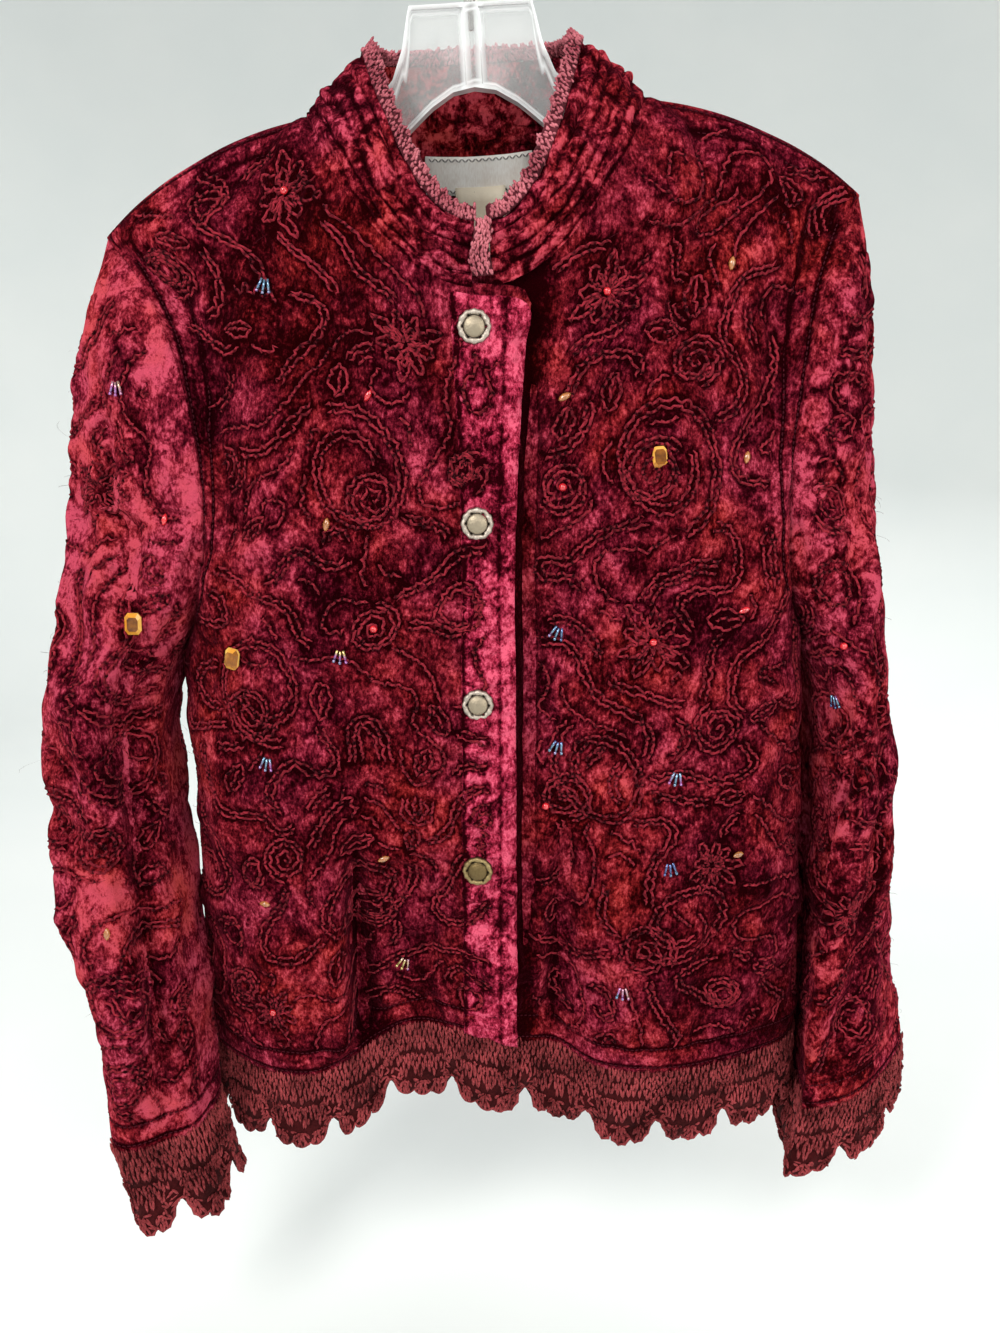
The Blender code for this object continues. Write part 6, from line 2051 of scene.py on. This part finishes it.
# Stray fibres: loose threads of pile and cord that stand off the shoulders, sleeves and sides.
FIBRES = {"sleeve_right": 170, "sleeve_left": 140, "front_right": 80, "front_left": 80, "back": 40}
FIBRE_LENGTHS = (0.004, 0.012)
FIBRE_RISES = (0.15, 0.9)
FIBRE_POINTS = 5
FIBRE = 0.00009
random = np.random.default_rng(5)
hairs = []
for name, many in FIBRES.items():
    chart = charts[name]
    rows, columns = np.nonzero(chart["inside"])
    pick = random.integers(0, len(rows), many)
    at, out = chart["points"][rows[pick], columns[pick]], chart["normals"][rows[pick], columns[pick]]
    lie = unit(random.normal(size=(many, 3)) + [0, 0, -0.4])
    long = random.uniform(*FIBRE_LENGTHS, many)[:, None]
    rise = random.uniform(*FIBRE_RISES, many)[:, None]
    t = np.linspace(0, 1, FIBRE_POINTS)[None, :, None]
    path = at[:, None] + (long * rise)[:, None] * out[:, None] * np.sin(2.2 * t)
    path = path + long[:, None] * lie[:, None] * t
    starts = np.tile(np.arange(FIBRE_POINTS) == 0, many)
    out = np.repeat(out, FIBRE_POINTS, 0)
    hairs.append(tubes(path.reshape(-1, 3), out, starts, FIBRE, FIBRE, 0.0))
piece("stray_fibres", *merged(*hairs), THREAD_LOOK, "velvet")

# Floor, light and camera: a plain pale ground like a wide dish, and soft light from the front left.
CAMERA_PLACE = (0.0207, -0.627, -0.2954)
CAMERA_PITCH = math.radians(14.5)
camera = bpy.data.objects.new("camera", bpy.data.cameras.new("camera"))
camera.data.lens = 27
camera.data.sensor_width = 36
camera.data.clip_start = 0.01
camera.location = CAMERA_PLACE
camera.rotation_euler = (math.pi / 2 - CAMERA_PITCH, 0, 0)
bpy.context.scene.collection.objects.link(camera)
bpy.context.scene.camera = camera


def soft_light(name, place, towards, size, power, colour):
    """A large square lamp that faces a point."""
    lamp = bpy.data.lights.new(name, "AREA")
    lamp.shape = "SQUARE"
    lamp.size = size
    lamp.energy = power
    lamp.color = colour
    made = bpy.data.objects.new(name, lamp)
    made.location = place
    direction = np.array(towards) - np.array(place)
    pitch = math.atan2(math.hypot(direction[0], direction[1]), -direction[2])
    made.rotation_euler = (pitch, 0, math.atan2(direction[1], direction[0]) - math.pi / 2)
    bpy.context.scene.collection.objects.link(made)


soft_light("key", (-1.0, -1.1, 0.75), (0, 0, -0.42), 0.7, 25, (1, 0.98, 0.95))
soft_light("fill", (1.3, -1.0, 0.1), (0, 0, -0.45), 0.9, 11, (1.0, 0.95, 0.88))
soft_light("front", (0.3, -1.4, 0.9), (0, 0, -0.4), 0.9, 8, (1, 1, 1))
soft_light("behind", (0.9, 1.3, 0.6), (0, 0, -0.4), 0.9, 20, (1, 1, 1))
world = bpy.data.worlds.new("studio")
world.use_nodes = True
world.node_tree.nodes["Background"].inputs["Color"].default_value = (0.9, 0.91, 0.92, 1)
world.node_tree.nodes["Background"].inputs["Strength"].default_value = 0.36
bpy.context.scene.world = world
bpy.context.scene.view_settings.view_transform = "Standard"

ground = Nodes("pale ground")
ground.set(Roughness=0.9, Emission_Color=(0.95, 0.98, 0.97, 1), Emission_Strength=0.14)
pale = ground.ramp(ground.noise(3, 2), (0.3, (0.72, 0.755, 0.745)), (0.7, (0.76, 0.785, 0.77)))
GROUND = ground.finish(pale)
FLOOR_DROP = 0.90
FLOOR_HALF = 3.4
FLAT_REACH = 1.6
SWEEP = 0.9
across, deep = np.meshgrid(np.linspace(-FLOOR_HALF, FLOOR_HALF, 69), np.linspace(-FLOOR_HALF, FLOOR_HALF, 69))
floor_z = -FLOOR_DROP + SWEEP * np.maximum(np.hypot(across, deep) - FLAT_REACH, 0) ** 2
mesh = bpy.data.meshes.new("floor")
numbers = np.arange(across.size).reshape(across.shape)
mesh.from_pydata(np.stack([across, deep, floor_z], -1).reshape(-1, 3).tolist(), [], quads(numbers).tolist())
mesh.polygons.foreach_set("use_smooth", np.ones(len(mesh.polygons), bool))
mesh.materials.append(GROUND)
floor = bpy.data.objects.new("floor", mesh)
bpy.context.scene.collection.objects.link(floor)
